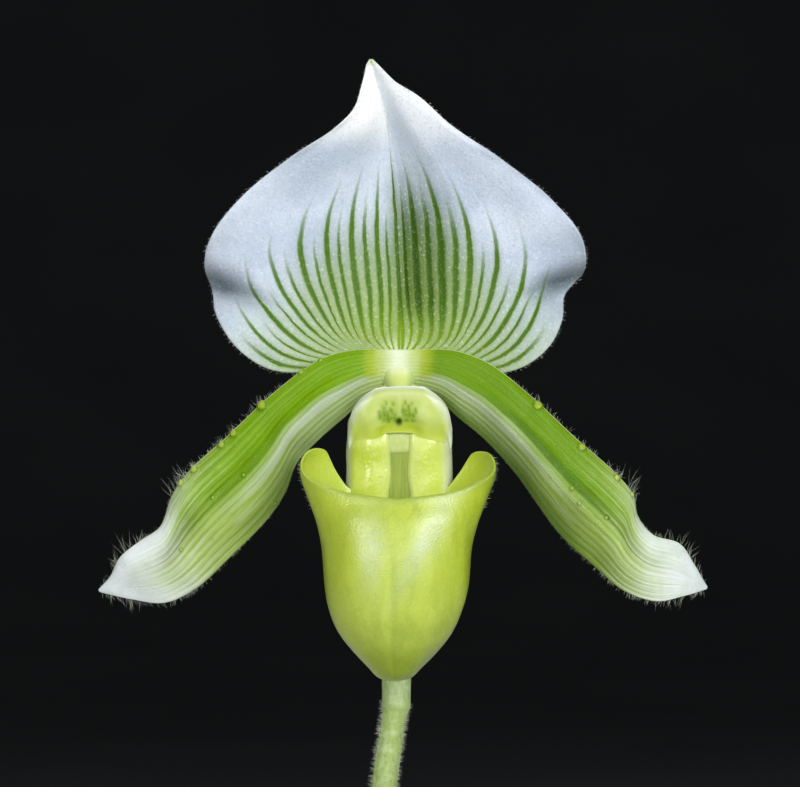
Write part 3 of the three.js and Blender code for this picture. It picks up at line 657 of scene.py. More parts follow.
def petal_paint():
    p = flesh("petal_green_fading_white", 0.46, 0.1, (0.5, 0.5, 0.3), specular_ior_level=0.2)
    s, t, back, dim = p.values("s t back dim")
    across = s + ((p.noise(8) - 0.5) * 0.07 + (p.noise(1.5) - 0.5) * 0.02)
    line = p.bands(across * 6.5).ease(0.36, 0.1)
    thin = p.bands(across * 17).ease(0.38, 0.1)
    fibre = p.noise(1, 3, p.place(across * 0.02, t * 0.005))
    upper = p.mix(line * 0.5, srgb(122, 167, 0), srgb(84, 130, 0))
    streak = across.ease(0.34, 0.14) * across.ease(-0.06, 0.06) * t.ease(0.1, 0.36)
    ground = p.mix(t.ease(0.5, 0.15), srgb(156, 180, 84), srgb(180, 195, 144))
    lower = ground.tint((line * 0.6, 114, 148, 54))
    upper = upper.tint(
        (fibre.ease(0.48, 0.66, 0, 0.4), 84, 126, 0),
        # painted shade: the upper half of the petal in shade is darker
        (dim * 0.7, 94, 136, 0),
        (thin * 0.2, 140, 180, 12),
        (across.ease(0.55, 0.9) * 0.3, 106, 144, 0),
        (streak * (0.35 + dim * 0.4), 66, 106, 0),
    )
    ridge = across.ease(-0.36, -0.24) * across.ease(-0.06, -0.17) * t.ease(0.6, 0.3)
    lower = lower.tint(
        (thin * 0.4, 130, 158, 74),
        (fibre.ease(0.5, 0.36, 0, 0.4), 190, 204, 172),
        (ridge * (0.66 - dim * 0.18 - thin * 0.22), 192, 204, 192),
        # painted shade along the lower margin, stronger on the petal in shade
        (across.ease(-0.4, -0.9) * (0.25 + dim * 0.6), 92, 122, 30),
    )
    body = p.mix(across.ease(-0.1, 0.06), lower, upper)
    reach = t - abs(across).ease(0.9, 0.1) * 0.06 + (p.noise(5, 3) - 0.5) * 0.12 - (fibre - 0.5) * 0.3
    reach = reach - dim * 0.03 - s.ease(-0.1, -0.9) * dim * 0.07 - line * s.ease(0.95, 0.5) * 0.045
    pale = p.mix(p.noise(5, 3).ease(0.35, 0.65), srgb(203, 213, 210), srgb(222, 229, 232))
    body = body.tint(
        (reach.ease(0.4, 0.66, 0, 0.55), 166, 188, 96),
        (reach.ease(0.54, 0.76, 0, 0.9), 194, 208, 172),
    )
    body = p.mix(reach.ease(0.62, 0.86), body, pale)
    body = heart(p, body, s.ease(-0.45, 0.05, 0.15, 1))
    wart = p.value("wart")
    grain = p.cells(0.35)
    relief = line * t.ease(0.8, 0.6)
    body = body.tint(
        # painted highlight along the upper edge
        (s.ease(0.965, 0.995) * 0.75, 214, 228, 160),
        # painted shade in a ring round each wart, and a painted highlight on its top
        (wart.ease(0.02, 0.3) * wart.ease(0.7, 0.4) * 0.4, 74, 100, 4),
        (wart.ease(0.4, 0.95) * 0.5, 190, 208, 66),
        (back * 0.35, 150, 180, 80),
        (p.noise(0.4, 1).ease(0.58, 0.8, 0, 0.06), 230, 240, 190),
    )
    p.bump((p.noise(1.8, 3), 0.06), (grain, 0.04), (relief, -0.03))
    rough = p.noise(0.6, 1).ease(0.3, 0.7, 0.38, 0.56)
    return p.done(body, rough * wart.ease(0.4, 0.9, 1, 0.4))


# dim is 1 for the petal lying in shade: its lower half folds back further and its paint is darker, as
# painted shade.
def make_petal(name, upper, lower, warts, side, seed, dim, paint):
    rows, columns, inner = 270, 64, 14
    s = np.linspace(-1, 1, columns)
    t = np.concatenate([np.linspace(-PETAL_JOIN, 0, inner, endpoint=False),
                        np.linspace(0, 1, rows - inner)])
    row_at = lambda share: int(inner + share * (rows - inner - 1))
    column_at = lambda across: int((across + 1) / 2 * (columns - 1))
    share = np.clip(t, 0, 1)
    top, bottom = curve(upper, share)[:, None], curve(lower, share)[:, None]
    grid = bottom + (top - bottom) * ((s + 1) / 2)[None, :, None]
    joined = np.minimum(t, 0)[:, None] / -PETAL_JOIN
    grid[..., 0] += joined * (0.25 * side - 0.1 - grid[..., 0])
    S, T = np.meshgrid(s, t)
    depth = grid[..., 1]
    depth += 0.04 * ease(joined, 0.95, 1.0) + 0.2 * joined * ease(S, -0.2, -0.6)
    ridge = 0.65 * (1 - S**2) + 0.35 * (1 - np.abs(S + 0.1) ** 1.1 * 0.9)
    depth -= through(PETAL_RIDGE, share)[:, None] * ridge
    depth += 0.9 * bell(S, 0.42, 0.28) * ease(T, 0.05, 0.2) * ease(T, 0.95, 0.7)
    depth += (0.8 + 1.2 * dim) * ease(S, -0.1, -0.95) * ease(T, 0.08, 0.3) * ease(T, 0.92, 0.6)
    depth += 0.03 * np.cos(13 * np.pi * S) * ease(T, 0.02, 0.1) * ease(T, 0.75, 0.5)
    depth += 0.3 * ripple(grid, 9.0, seed) * ease(T, 0.02, 0.15)
    normal = facing(grid, side)
    thick = 0.95 * (1 - 0.6 * S**6) * (1 - 0.35 * T)
    wart = np.zeros_like(S)
    for across, along, radius in warts:
        centre = grid[row_at(along), column_at(across)]
        far = np.linalg.norm(grid - centre, axis=-1) / radius
        dome = np.sqrt(np.clip(1 - far**2, 0, 1)) + 0.12 * bell(far, 1.1, 0.5)
        thick = thick + 0.7 * radius * dome
        outward = unit(grid[:, -1:] - grid[:, -4:-3]) * (0.45 if across > 0.8 else 0)
        grid = grid + (normal * 0.36 + 0.8 * outward) * (radius * dome)[..., None]
        wart = np.maximum(wart, ease(far, 1.1, 0.3))
    shape = Shape()
    sheet(shape, grid + FLOWER, thick, side, 0, s=S, t=T, wart=wart, dim=dim)
    rng = np.random.default_rng(seed)
    for column, stations, count, start in ((-1, UPPER_HAIR, 240, 0.15), (0, LOWER_HAIR, 170, 0.3)):
        row = rng.integers(row_at(start), rows - 2, count)
        within = -4 if column else 3
        outward = unit(grid[row, column] - grid[row, within]) + 0.3 * VIEWER
        size = through(stations, t[row])
        hairs(shape, grid[row, column] + FLOWER, outward, size, PETAL_HAIR, seed + 1, 1, 0.22, 0.34)
    for across, along, radius in warts[:5]:
        centre = grid[row_at(along), column_at(across)]
        roots = centre + rng.normal(scale=0.25, size=(9, 3))
        lift = np.tile(unit(centre - grid[row_at(along), columns // 2]) + 0.5 * VIEWER, (9, 1))
        hairs(shape, roots + FLOWER, lift, 2.0, PETAL_HAIR, seed + 2, 1, 0.2, 0.45)
    shape.build(name, "petal", paint, hair_paint)


# The lip: a pouch, with side lobes folded in above it and a groove between them.
POUCH_TOE = -48.6
POUCH_HALF_WIDTH = [
    (-48.6, 0.6), (-48.1, 2.4), (-46.5, 4.1), (-44.6, 5.9), (-41, 8.7), (-37.3, 10.3), (-33.6, 11.1),
    (-28, 11.5), (-24.4, 12.25), (-20.8, 13.5), (-17.1, 14.8), (-15, 14.8), (-12.9, 13.7),
]
POUCH_FRONT = [
    (-48.6, -11.6), (-48.1, -13.2), (-46.5, -15.4), (-42.8, -18.6), (-37, -21.2), (-30, -22.2),
    (-24, -21.2), (-20.8, -19.8), (-12.9, -17.5),
]
POUCH_BACK = [
    (-48.6, -10.4), (-48.1, -9), (-46.5, -6.8), (-42.8, -4.4), (-37, -3.2), (-24, -3.4), (-12.9, -3),
]
POUCH_RIM = [
    (0, -20.8), (30, -19.9), (50, -18.9), (70, -17.3), (86, -15.4), (98, -13.6), (112, -12.95),
    (127, -13.3), (136, -14.7), (142.5, -16.7), (150, -19.2), (165, -20), (180, -20),
]
POUCH_CENTRE_X = [(-48.6, -0.8), (-12.9, -0.35)]
POUCH_SQUARENESS = 2.25
RIGHT_EAR_DROP = 0.6
LIP_WALL = 0.85
POUCH_FLOOR_ROW = 16
DROPLETS = 15
EAR_HAIRS = 420


def pouch(angle, share):
    """The pouch's outside, at angles round it from the front and shares of the way from toe to rim."""
    turn = np.abs(((angle + 540) % 360) - 180)
    rim = through(POUCH_RIM, turn) - RIGHT_EAR_DROP * bell(angle, 112, 34)
    z = POUCH_TOE + (rim - POUCH_TOE) * share
    power = 2 / POUCH_SQUARENESS
    sine, cosine = np.sin(np.radians(angle)), np.cos(np.radians(angle))
    front, rear = through(POUCH_FRONT, z), through(POUCH_BACK, z)
    x = through(POUCH_CENTRE_X, z) + through(POUCH_HALF_WIDTH,
                                             z) * np.sign(sine) * np.abs(sine) ** power
    y = (front + rear) / 2 - (rear - front) / 2 * np.sign(cosine) * np.abs(cosine) ** power
    return np.stack([x, y, z], -1)


def pouch_paint():
    p = flesh("lip_pouch_glossy", 0.42, 0.12, (0.8, 0.7, 0.3), specular_ior_level=0.5, coat_weight=0.8,
              coat_roughness=0.24, coat_ior=1.5)
    front, rim, inside, low = p.values("front rim inside low")
    cloud = p.noise(6, 4)
    streak = p.noise(2.2, 3, stretch=(1, 1, 0.22))
    color = p.mix(cloud.ease(0.35, 0.65), srgb(164, 187, 24), srgb(184, 204, 50))
    around = p.place((p.value("round") + cloud * 0.12) * 0.06, p.value("up") * 0.03)
    vein = p.cells(3.4, "DISTANCE_TO_EDGE", around).ease(0.12, 0) * p.noise(5).ease(0.4, 0.6)
    speck = p.noise(0.4, 2, stretch=(1, 1, 0.45))
    grain = p.cells(0.24)
    color = color.tint(
        # painted sheen: the front of the pouch is paler
        (front.ease(0.3, 0.97) * 0.6, 196, 213, 84),
        (streak.ease(0.45, 0.7) * 0.3, 146, 170, 22),
        (vein * 0.16, 128, 154, 20),
        (p.value("seam") * low.ease(0.2, 0.5) * 0.3, 124, 152, 26),
        (low.ease(0.55, 1) * 0.6, 118, 144, 0),
        # painted shade towards the sides and back of the pouch
        (front.ease(0.35, 0.05) * 0.5, 126, 152, 14),
        (inside * 0.95, 188, 207, 54),
        # painted shade: the rolled rim is darkened against the light it catches
        (rim * 0.4, 146, 168, 84),
        # painted light: the left side of the pouch is lighter
        (p.value("round").ease(-0.14, -0.36, 0, 0.6), 192, 210, 72),
        (p.noise(0.4, 1).ease(0.55, 0.8, 0, 0.2), 226, 238, 150),
        # painted highlight: pale speckled patches where the lamps' reflections fall on the pouch
        (p.value("bloom") * speck.ease(0.36, 0.62, 0.25, 0.65), 184, 199, 172),
    )
    p.bump((p.noise(5, 2), 0.06), (speck, 0.018), (grain, 0.03))
    return p.done(color, p.noise(0.6, 1).ease(0.3, 0.7, 0.36, 0.5))


def add_pouch(shape):
    """Adds the pouch, and returns its rings of points and how many of them are outside."""
    sides, levels, rolls = 190, 104, 7
    angle = np.linspace(0, 360, sides, endpoint=False)
    share = np.linspace(0, 1, levels) ** 1.5
    A, H = np.meshgrid(angle, share)
    aside = (A + 180) % 360 - 180
    outer = pouch(A, H)
    outer[..., 1] += 0.35 * bell(aside, 0, 7) * ease(H, 0.75, 0.3) * ease(H, 0.0, 0.1)
    outer[..., 0] += 0.2 * (bell(aside, 104, 26) - bell(aside, -104, 26)) * ease(H, 0.62, 1.0)
    outer += facing(outer) * (0.14 * ripple(outer, 9.0, 31) * ease(H, 0.02, 0.15))[..., None]
    rise = np.gradient(outer, axis=0)
    normal = unit(np.cross(np.roll(outer, -1, axis=1) - np.roll(outer, 1, axis=1), rise))
    if np.mean(np.sum(normal * (outer - outer.mean(axis=1, keepdims=True)), axis=-1)) < 0:
        normal = -normal
    rolled = ease(H, 0.82, 1.0) * ease(np.abs(aside), 80, 50)
    wall = (LIP_WALL * (1 - 0.6 * ease(H, 0.75, 1.0) * (1 - rolled)) + 0.4 * rolled)[..., None]
    inner = outer - normal * wall
    bend = np.linspace(0, np.pi, rolls + 2)[1:-1, None, None]
    middle, half = (outer[-1] + inner[-1]) / 2, (outer[-1] - inner[-1]) / 2
    roll = middle + half * np.cos(bend) + unit(rise[-1]) * np.sin(bend) * wall[-1] * 0.5
    points = np.concatenate([outer, roll, inner[: POUCH_FLOOR_ROW - 1 : -1]])
    hidden = levels - POUCH_FLOOR_ROW
    up = np.concatenate([share, np.ones(rolls), share[: POUCH_FLOOR_ROW - 1 : -1]])[:, None]
    inside = np.concatenate([np.zeros(levels), np.full(rolls, 0.5), np.ones(hidden)])[:, None]
    x, y, z = np.moveaxis(points, -1, 0)
    # Where the painted highlight patches lie: one on the left, one along a slant on the right.
    bloom = bell(x, -4.3, 1.7) * bell(z, -28.5, 5.5)
    bloom = np.maximum(bloom, bell(x - 0.53 * z, 18.0, 2.0) * bell(z, -26.5, 7.5))
    lapped = aside[0]
    closed(
        shape, points + FLOWER, front=np.cos(np.radians(angle)), round=lapped / 180, up=up,
        rim=ease(up, 0.97, 1.0) * (inside < 1) * ease(np.abs(lapped), 95, 60), inside=inside,
        low=1 - up, seam=bell(lapped, -1, 2.2), bloom=bloom * ease(y, -8, -14) * (inside < 0.5),
    )
    return points, levels


LOBE = [
    (1.2, 0.7), (1.15, -1.4), (1.15, -3.6), (1.25, -5.2), (1.75, -5.85), (2.8, -6.1), (4.2, -6.1),
    (5.6, -5.7),
    (7.0, -4.8), (7.95, -3.2), (8.15, -1.0), (7.7, 0.7), (6.2, 1.4), (4.0, 1.5), (2.2, 1.3),
]
LOBE_SIZE = [(-25, 1.04), (-19, 1.02), (-13, 0.99), (-10, 0.95), (-8.4, 0.88), (-7.2, 0.6), (-7, 0.1)]


def lobe_paint():
    p = flesh("lip_lobes_wet", 0.3, 0.3, (1.2, 1, 0.4), specular_ior_level=0.5, coat_weight=0.5,
              coat_roughness=0.08)
    outer, v, inner = p.values("outer v inner")
    color = p.mix(p.noise(3, 3).ease(0.35, 0.65), srgb(200, 217, 70), srgb(212, 227, 100))
    color = color.tint(
        (v.ease(-14.5, -11) * 0.4, 216, 229, 134),
        # painted highlight along the lobes' inner edges
        (inner * 0.6, 224, 236, 156),
        # pale outer margin: a translucent edge, with a painted sheen where it curves back
        (outer * 0.85, 220, 229, 194),
        (p.noise(0.7, 1).ease(0.55, 0.7) * 0.2, 236, 244, 180),
    )
    p.bump((p.noise(1.6, 2), 0.04), (p.noise(0.5, 1), 0.03))
    return p.done(color)


def groove_paint():
    p = flesh("lip_groove_olive", 0.35, 0.2, (1, 1, 0.4))
    line = p.noise(0.45, 2, stretch=(1, 1, 0.06)).ease(0.35, 0.65)
    color = p.mix(line, srgb(154, 174, 54), srgb(136, 158, 42))
    p.bump((line, 0.03))
    return p.done(color)


def add_lobes(shape):
    sides, levels, tops = 150, 104, 40
    loop = [(x, y, 0) for x, y in [*LOBE, LOBE[0]]]
    outline = curve(loop, np.linspace(0, 1, sides, endpoint=False))[:, :2]
    centre = outline.mean(axis=0)
    z = np.concatenate([np.linspace(-25, -9.5, levels - tops), np.linspace(-9.4, -7.0, tops)])[:, None]
    size = through(LOBE_SIZE, z[:, 0])[:, None]
    rng = np.random.default_rng(41)
    for sign in (-1, 1):
        flare = (0.45 * ease(z, -17, -22) - 0.12 * bell(z, -16.5, 2.0)) * ease(outline[:, 0], 3.5, 1.2)
        x = centre[0] + (outline[:, 0] - centre[0]) * size + flare
        y = centre[1] + (outline[:, 1] - centre[1]) * size
        y = y - 0.3 * bell(z, -12, 2.5) * ease(outline[:, 1], -1, -4)
        grid = np.stack([sign * x - 0.12 + 0.08 * sign, y, np.broadcast_to(z, x.shape)], -1)
        normal = unit(grid - grid.mean(axis=1, keepdims=True))
        swell = np.zeros(x.shape)
        for _ in range(DROPLETS):
            spot = np.array([sign * rng.uniform(1.9, 5.6) - 0.2, -6, -12.2 - rng.gamma(1.4, 1.4)])
            far = np.linalg.norm((grid - spot) * [1, 0.4, 1], axis=-1) / rng.uniform(0.11, 0.22)
            swell = np.maximum(swell, np.sqrt(np.clip(1 - far**2, 0, 1)) * (y < -3))
        grid = grid + normal * (0.09 * swell + 0.05 * ripple(grid, 5.0, 43))[..., None]
        aside = np.abs(grid[..., 0])
        closed(
            shape, grid + FLOWER, 1, flip=sign < 0, inner=bell(aside, 1.6, 0.7), v=grid[..., 2],
            outer=ease(aside, 6.5 - 0.7 * sign, 7.9 - 0.3 * sign),
        )
    X, Z = np.meshgrid(np.linspace(-2.6, 2.4, 40), np.linspace(-25, -7.5, 60))
    floor = np.stack([X, -5.15 + 0.01 * np.cos(X * 9) + 0.04 * bell(X, 0.25, 0.12), Z], -1)
    sheet(shape, floor + FLOWER, 0.6, 1, 2)


def make_lip():
    shape = Shape()
    points, levels = add_pouch(shape)
    add_lobes(shape)
    claw = curve([[0, 1.3, -10], [0, 1.6, -6.4], [0, 1.0, -3.6]], np.linspace(0, 1, 16))
    tube(shape, claw + FLOWER, np.full(16, 0.9), 20, 1)
    rng = np.random.default_rng(51)
    rim = points[levels]
    outward = rim - rim.mean(axis=0)
    outward[:, 2] = 4
    angle = np.abs((np.arange(len(rim)) * 360 / len(rim) + 180) % 360 - 180)
    ears = np.flatnonzero((angle > 88) & (angle < 132))
    pick = rng.choice(ears, EAR_HAIRS)
    level = rng.integers(levels - 16, levels, EAR_HAIRS)
    hairs(shape, points[level, pick] + FLOWER, unit(outward[pick]), 0.7, FINE_HAIR, 52, slot=3)
    shape.build("lip", "lip", pouch_paint(), lobe_paint(), groove_paint(), hair_paint)


# The column, the shield in front of it, the stigma and the pollen.
STAMINODE_HALF_WIDTH = 7.9
STAMINODE_TOP = [
    (-1, -9.6), (-0.93, -7.5), (-0.8, -5.7), (-0.6, -4.3), (-0.42, -3.6), (0.42, -3.4), (0.6, -4.1),
    (0.8, -5.5), (0.93, -7.2), (1, -9.4),
]
STAMINODE_BOTTOM = [
    (-1, -14.6), (-0.95, -13.2), (-0.87, -12.3), (-0.74, -11.9), (-0.55, -12.5), (-0.41, -11.9),
    (-0.33, -10.9),
    (-0.22, -10.6), (0.2, -10.6), (0.31, -10.9), (0.47, -12.0), (0.62, -12.1), (0.78, -11.8),
    (0.87, -12.2),
    (0.95, -13.1), (1, -14.6),
]
# The green dashes on the shield: place across, top, bottom, half width.
DASHES = [
    (-3.1, -7.0, -8.5, 0.2), (-2.45, -6.2, -8.8, 0.24), (-1.85, -7.0, -9.0, 0.22),
    (-1.35, -6.5, -8.5, 0.2),
    (-0.85, -7.4, -9.0, 0.18), (0.5, -6.3, -7.6, 0.17), (1.0, -6.8, -8.8, 0.24),
    (1.55, -6.1, -8.2, 0.2),
    (2.1, -7.3, -8.8, 0.22), (2.5, -6.6, -7.6, 0.15), (-2.2, -5.5, -6.3, 0.14),
    (-1.1, -5.6, -6.4, 0.14),
    (0.9, -5.4, -6.2, 0.13), (1.9, -5.7, -6.4, 0.13),
]


def ellipsoid(shape, centre, radii, power=2.0, slot=0):
    """A closed rounded solid; a power over 2 makes it boxier."""
    rows, columns = 36, 48
    lat = np.linspace(-np.pi / 2, np.pi / 2, rows)[1:-1]
    B, L = np.meshgrid(lat, circle(columns), indexing="ij")
    soft = lambda v: np.sign(v) * np.abs(v) ** (2 / power)
    flat = soft(np.cos(B))
    grid = np.stack([flat * soft(np.cos(L)), flat * soft(np.sin(L)), soft(np.sin(B))], -1)
    closed(shape, grid * radii + centre, slot, (centre - UP * radii, centre + UP * radii))


def column_paint():
    p = flesh("column_cream", 0.36, 0.1, (1.0, 1.0, 0.7), specular_ior_level=0.3)
    x, z = abs(p.axis("X") + 0.2 * MM), p.axis("Z")
    height = lambda rise: (FLOWER[2] + rise) * MM
    color = p.mix(z.ease(height(-2.2), height(-0.4)), srgb(216, 230, 134), srgb(224, 236, 186))
    color = color.tint((x.ease(0.9 * MM, 2.2 * MM), 184, 202, 128))
    p.bump((p.noise(1.0, 2.0), 0.04))
    return p.done(color)


COLUMN_FRONT = [
    (-4.8, -5.8), (-3.8, -4.9), (-2.8, -3.3), (-1.9, -2.2), (-1.1, -1.6), (-0.4, -1.0), (0.6, -0.3),
    (2.2, 0.3),
]
COLUMN_HALF_WIDTH = [(-4.8, 1.9), (-3.4, 1.9), (-2.2, 2.3), (-1, 2.8), (2.2, 3.0)]
COLUMN_FALL = [(-4.8, 4.6), (-3.4, 3.2), (-2.2, 2.0), (-1.2, 1.3), (-0.4, 0.8), (2.2, 0.4)]


def make_column():
    shape = Shape()
    _, _, S, T = net(rows=60, columns=48)
    z = 2.2 - 7.0 * T
    x = through(COLUMN_HALF_WIDTH, z) * S - 0.15
    y = through(COLUMN_FRONT, z) + through(COLUMN_FALL, z) * S**2
    sheet(shape, np.stack([x, y, z], -1) + FLOWER, 1.0 - 0.6 * ease(T, 0.12, 0.0), -1, 0)
    ellipsoid(shape, FLOWER + [-0.1, 1.2, -0.8], [2.3, 2.4, 2.2], 2.3, 0)
    ellipsoid(shape, FLOWER + [-0.2, -4.25, -11.1], [2.3, 1.5, 2.75], 6.0, 1)
    shape.build("column", "column", column_paint(), stigma_paint())


def stigma_paint():
    p = flesh("stigma_pale", 0.3, 0.4, (1.2, 1.1, 0.7))
    color = p.mix(p.noise(0.8, 2).ease(0.35, 0.65), srgb(190, 207, 118), srgb(202, 216, 138))
    p.bump((p.noise(0.6, 2), 0.03))
    return p.done(color)


def staminode_paint():
    p = flesh("staminode_veined", 0.32, 0.1, (1, 1, 0.5), specular_ior_level=0.45, coat_weight=0.15,
              coat_roughness=0.12)
    u, v, edge, mark = p.values("u v edge mark")
    aside = abs(u + 0.15)
    color = p.mix(p.noise(2.5, 3).ease(0.35, 0.65), srgb(188, 205, 98), srgb(199, 214, 122))
    haze = aside.ease(3.6, 1.8) * v.ease(-4.6, -7) * v.ease(-9.4, -8.7)
    level = v + aside ** 2 * 0.07
    band = level.ease(-8.5, -9.1) * level.ease(-11.6, -10.2) * aside.ease(4.6, 2.4)
    septum = aside.ease(0.45, 0.1) * (v.ease(-8.2, -7.4) * v.ease(-4.4, -5.4))
    color = color.tint(
        (v.ease(-8.2, -10.6), 206, 222, 96),
        (v.ease(-6, -4) * 0.5, 206, 219, 160),
        (haze * 0.6, 158, 186, 50),
        (band * 0.85, 180, 199, 44),
        (edge * 0.9, 228, 236, 214),
        (mark * p.noise(0.8, 2).ease(0.34, 0.55, 0.45, 1) * 0.85, 108, 146, 0),
        (septum * 0.3, 210, 223, 156),
        (p.value("pit"), 40, 84, 0),
        # painted highlight: a glint line along the top edge
        (v.ease(-4.3, -3.75) * aside.ease(5, 3.5) * 0.7, 240, 246, 232),
    )
    p.bump((p.noise(1.2, 3), 0.03))
    return p.done(color)


def make_staminode():
    s, _, S, T = net(rows=76, columns=130)
    high, low = through(STAMINODE_TOP, s), through(STAMINODE_BOTTOM, s)
    x, z = STAMINODE_HALF_WIDTH * S, high * (1 - T) + low * T
    y = -7.2 + 1.4 * S**4 + 1.4 * S**10 + 1.0 * ease(T, 0.16, 0.0) + 1.0 * ease(T, 0.45, 1.0)
    y += 0.45 * bell(np.hypot(x + 0.2, (z + 7.0) * 1.1), 0, 3.0)
    y += 0.6 * ease(np.abs(S), 0.84, 1.0) * ease(T, 0.65, 1.0)
    y += 0.25 * bell(np.hypot(x + 0.16, z + 8.8), 0, 0.42)
    y -= 0.04 * bell(x + 0.16, 0, 0.3) * ease(z, -9.0, -8.0) * ease(z, -4.2, -5.2)
    side = (1 - np.abs(S)) * STAMINODE_HALF_WIDTH
    inward = np.minimum(side, T * (high - low) * 0.8)
    wide = 0.4 + 1.5 * ease(np.abs(S), 0.35, 0.75) * ease(z, -11, -7.5)
    edge = ease(inward / wide, 1.3, 0.2) * ease(z, -13.5, -11)
    edge = np.maximum(edge, ease(side, 1.0 + 0.4 * (S > 0), 0.2) * ease(z, -7, -9))
    mark = np.zeros_like(S)
    for across, top, foot, half in DASHES:
        length = ease(z, foot - 0.15, foot + 0.3) * ease(z, top + 0.3, top - 0.3)
        mark = np.maximum(mark, bell(x + 0.06 * (z - foot), across, 1.9 * half) * length)
    pit = ease(bell(np.hypot(x + 0.16, (z + 8.75) * 0.8), 0, 0.62), 0.15, 0.75)
    thick = (1 - 0.8 * ease(T, 0.5, 1.0)) * (1 - 0.5 * ease(side, 1.0, 0.0))
    thick = thick * (1 - 0.4 * ease(T, 0.15, 0.0))
    shape = Shape()
    grid = np.stack([x, y, z], -1) + FLOWER
    sheet(shape, grid, thick, -1, 0, u=x, v=z, edge=edge, pit=pit, mark=mark)
    shape.build("staminode", "staminode", staminode_paint())


def pollen_paint():
    p = flesh("pollen_sticky", 0.35, 0.2, (1, 0.8, 0.2))
    color = p.mix(p.noise(0.5, 3).ease(0.35, 0.65), srgb(222, 196, 84), srgb(196, 164, 52))
    p.bump((p.noise(0.3, 2), 0.08))
    return p.done(color)


def make_anthers():
    paint = pollen_paint()
    for side, sign in (("left", -1), ("right", 1)):
        shape = Shape()
        ellipsoid(shape, FLOWER + [4.3 * sign, -2.6, -5.2], [0.9, 1.1, 1.0], 2.3)
        stalk = [[1.4 * sign, -1.6, -3.4], [3.2 * sign, -2.3, -4.3], [4.3 * sign, -2.6, -5.0]]
        tube(shape, curve(stalk, np.linspace(0, 1, 12)) + FLOWER, np.full(12, 0.7), 16, 1)
        name = f"anther_{side}"
        shape.build(name, "pollen", paint, stigma_paint())


# The stem, the ovary and its bract.
STEM_TOP = [-0.6, 0.4, 266.8]
STEM_PATH = [
    [0, 0, 84], [0, 0, 100.6], [0.8, 0.4, 135.6], [-1.5, 0.8, 185.6], [-4.4, 0.6, 228.6],
    [-2.6, 0.4, 252.8], STEM_TOP,
]
OVARY_PATH = [
    [-0.6, 8.4, -53.6], [-0.5, 9.6, -44], [-0.2, 11.2, -32], [0, 11.6, -19], [0, 9.6, -8],
    [0, 5.2, -1.6], [0, 1.6, 0],
]
STEM_RADIUS, STEM_HAIRS = 1.95, 17500
OVARY_RADIUS, OVARY_HAIRS = 2.25, 2400
OVARY_WIDTH = [(0, 0.84), (0.12, 0.88), (0.4, 1.08), (0.75, 1.02), (1, 0.95)]


def stem_paint(name, light, dark, foot=None):
    """A stem's surface; foot is the colour its lowest tenth fades into."""
    p = flesh(name, 0.5, 0.2, (1, 1, 0.5))
    streak = p.noise(0.5, 3, stretch=(1, 1, 0.35))
    color = p.mix(streak.ease(0.3, 0.7), light, dark)
    ring = p.noise(1, 3, stretch=(0.4, 0.4, 1))
    color = color.tint((ring.ease(0.48, 0.7) * 0.45, 198, 214, 172))
    if foot:
        color = p.mix(p.value("t").ease(0.55, 0.25), color, foot)
    p.bump((streak, 0.06), (ring, 0.07), (p.noise(0.5, 2), 0.06))
    return p.done(color)


def tube_hairs(shape, centres, radii, count, length, seed, slot=1):
    """Hairs all over a tube."""
    rng = np.random.default_rng(seed)
    row = rng.uniform(0, len(centres) - 1.001, count)
    low = row.astype(int)
    place = centres[low] + (centres[low + 1] - centres[low]) * (row - low)[:, None]
    along = unit(centres[low + 1] - centres[low])
    way = unit(np.cross(along, rng.normal(size=(count, 3))))
    roots = place + way * (np.asarray(radii)[low] * 0.97)[:, None]
    hairs(shape, roots, way, length, STEM_HAIR, seed + 1, slot=slot, stray=0.4)


def make_stem():
    shape = Shape()
    share = np.linspace(0, 1, 240)
    path = curve(STEM_PATH, share)
    size = STEM_RADIUS * (1.15 - 0.15 * share) * (1 + 0.03 * ripple(path, 14.0, 61))
    size = size * (1 + 0.1 * bell(share, 0.997, 0.008))
    ribs = lambda a, t: 1 + 0.02 * np.cos(5 * a + 2 * t) + 0.015 * np.cos(9 * a)
    tube(shape, path, size, 40, 0, ribs)
    tube_hairs(shape, path, size, STEM_HAIRS, 1.0, 62)
    paint = stem_paint("stem_green_hairy", srgb(172, 195, 116), srgb(152, 177, 94))
    shape.build("flower_stem", "stem", paint, hair_paint)


def make_ovary():
    shape = Shape()
    share = np.linspace(0, 1, 110)
    path = curve(OVARY_PATH, share) + FLOWER
    size = OVARY_RADIUS * through(OVARY_WIDTH, share)
    ribs = lambda a, t: 1 + 0.07 * np.cos(6 * a) * ease(t, 0.05, 0.25)
    tube(shape, path, size, 72, 0, ribs)
    tube_hairs(shape, path, size, OVARY_HAIRS, 0.6, 72)
    paint = stem_paint("ovary_ribbed", srgb(150, 176, 92), srgb(112, 142, 62))
    shape.build("ovary", "ovary", paint, hair_paint)


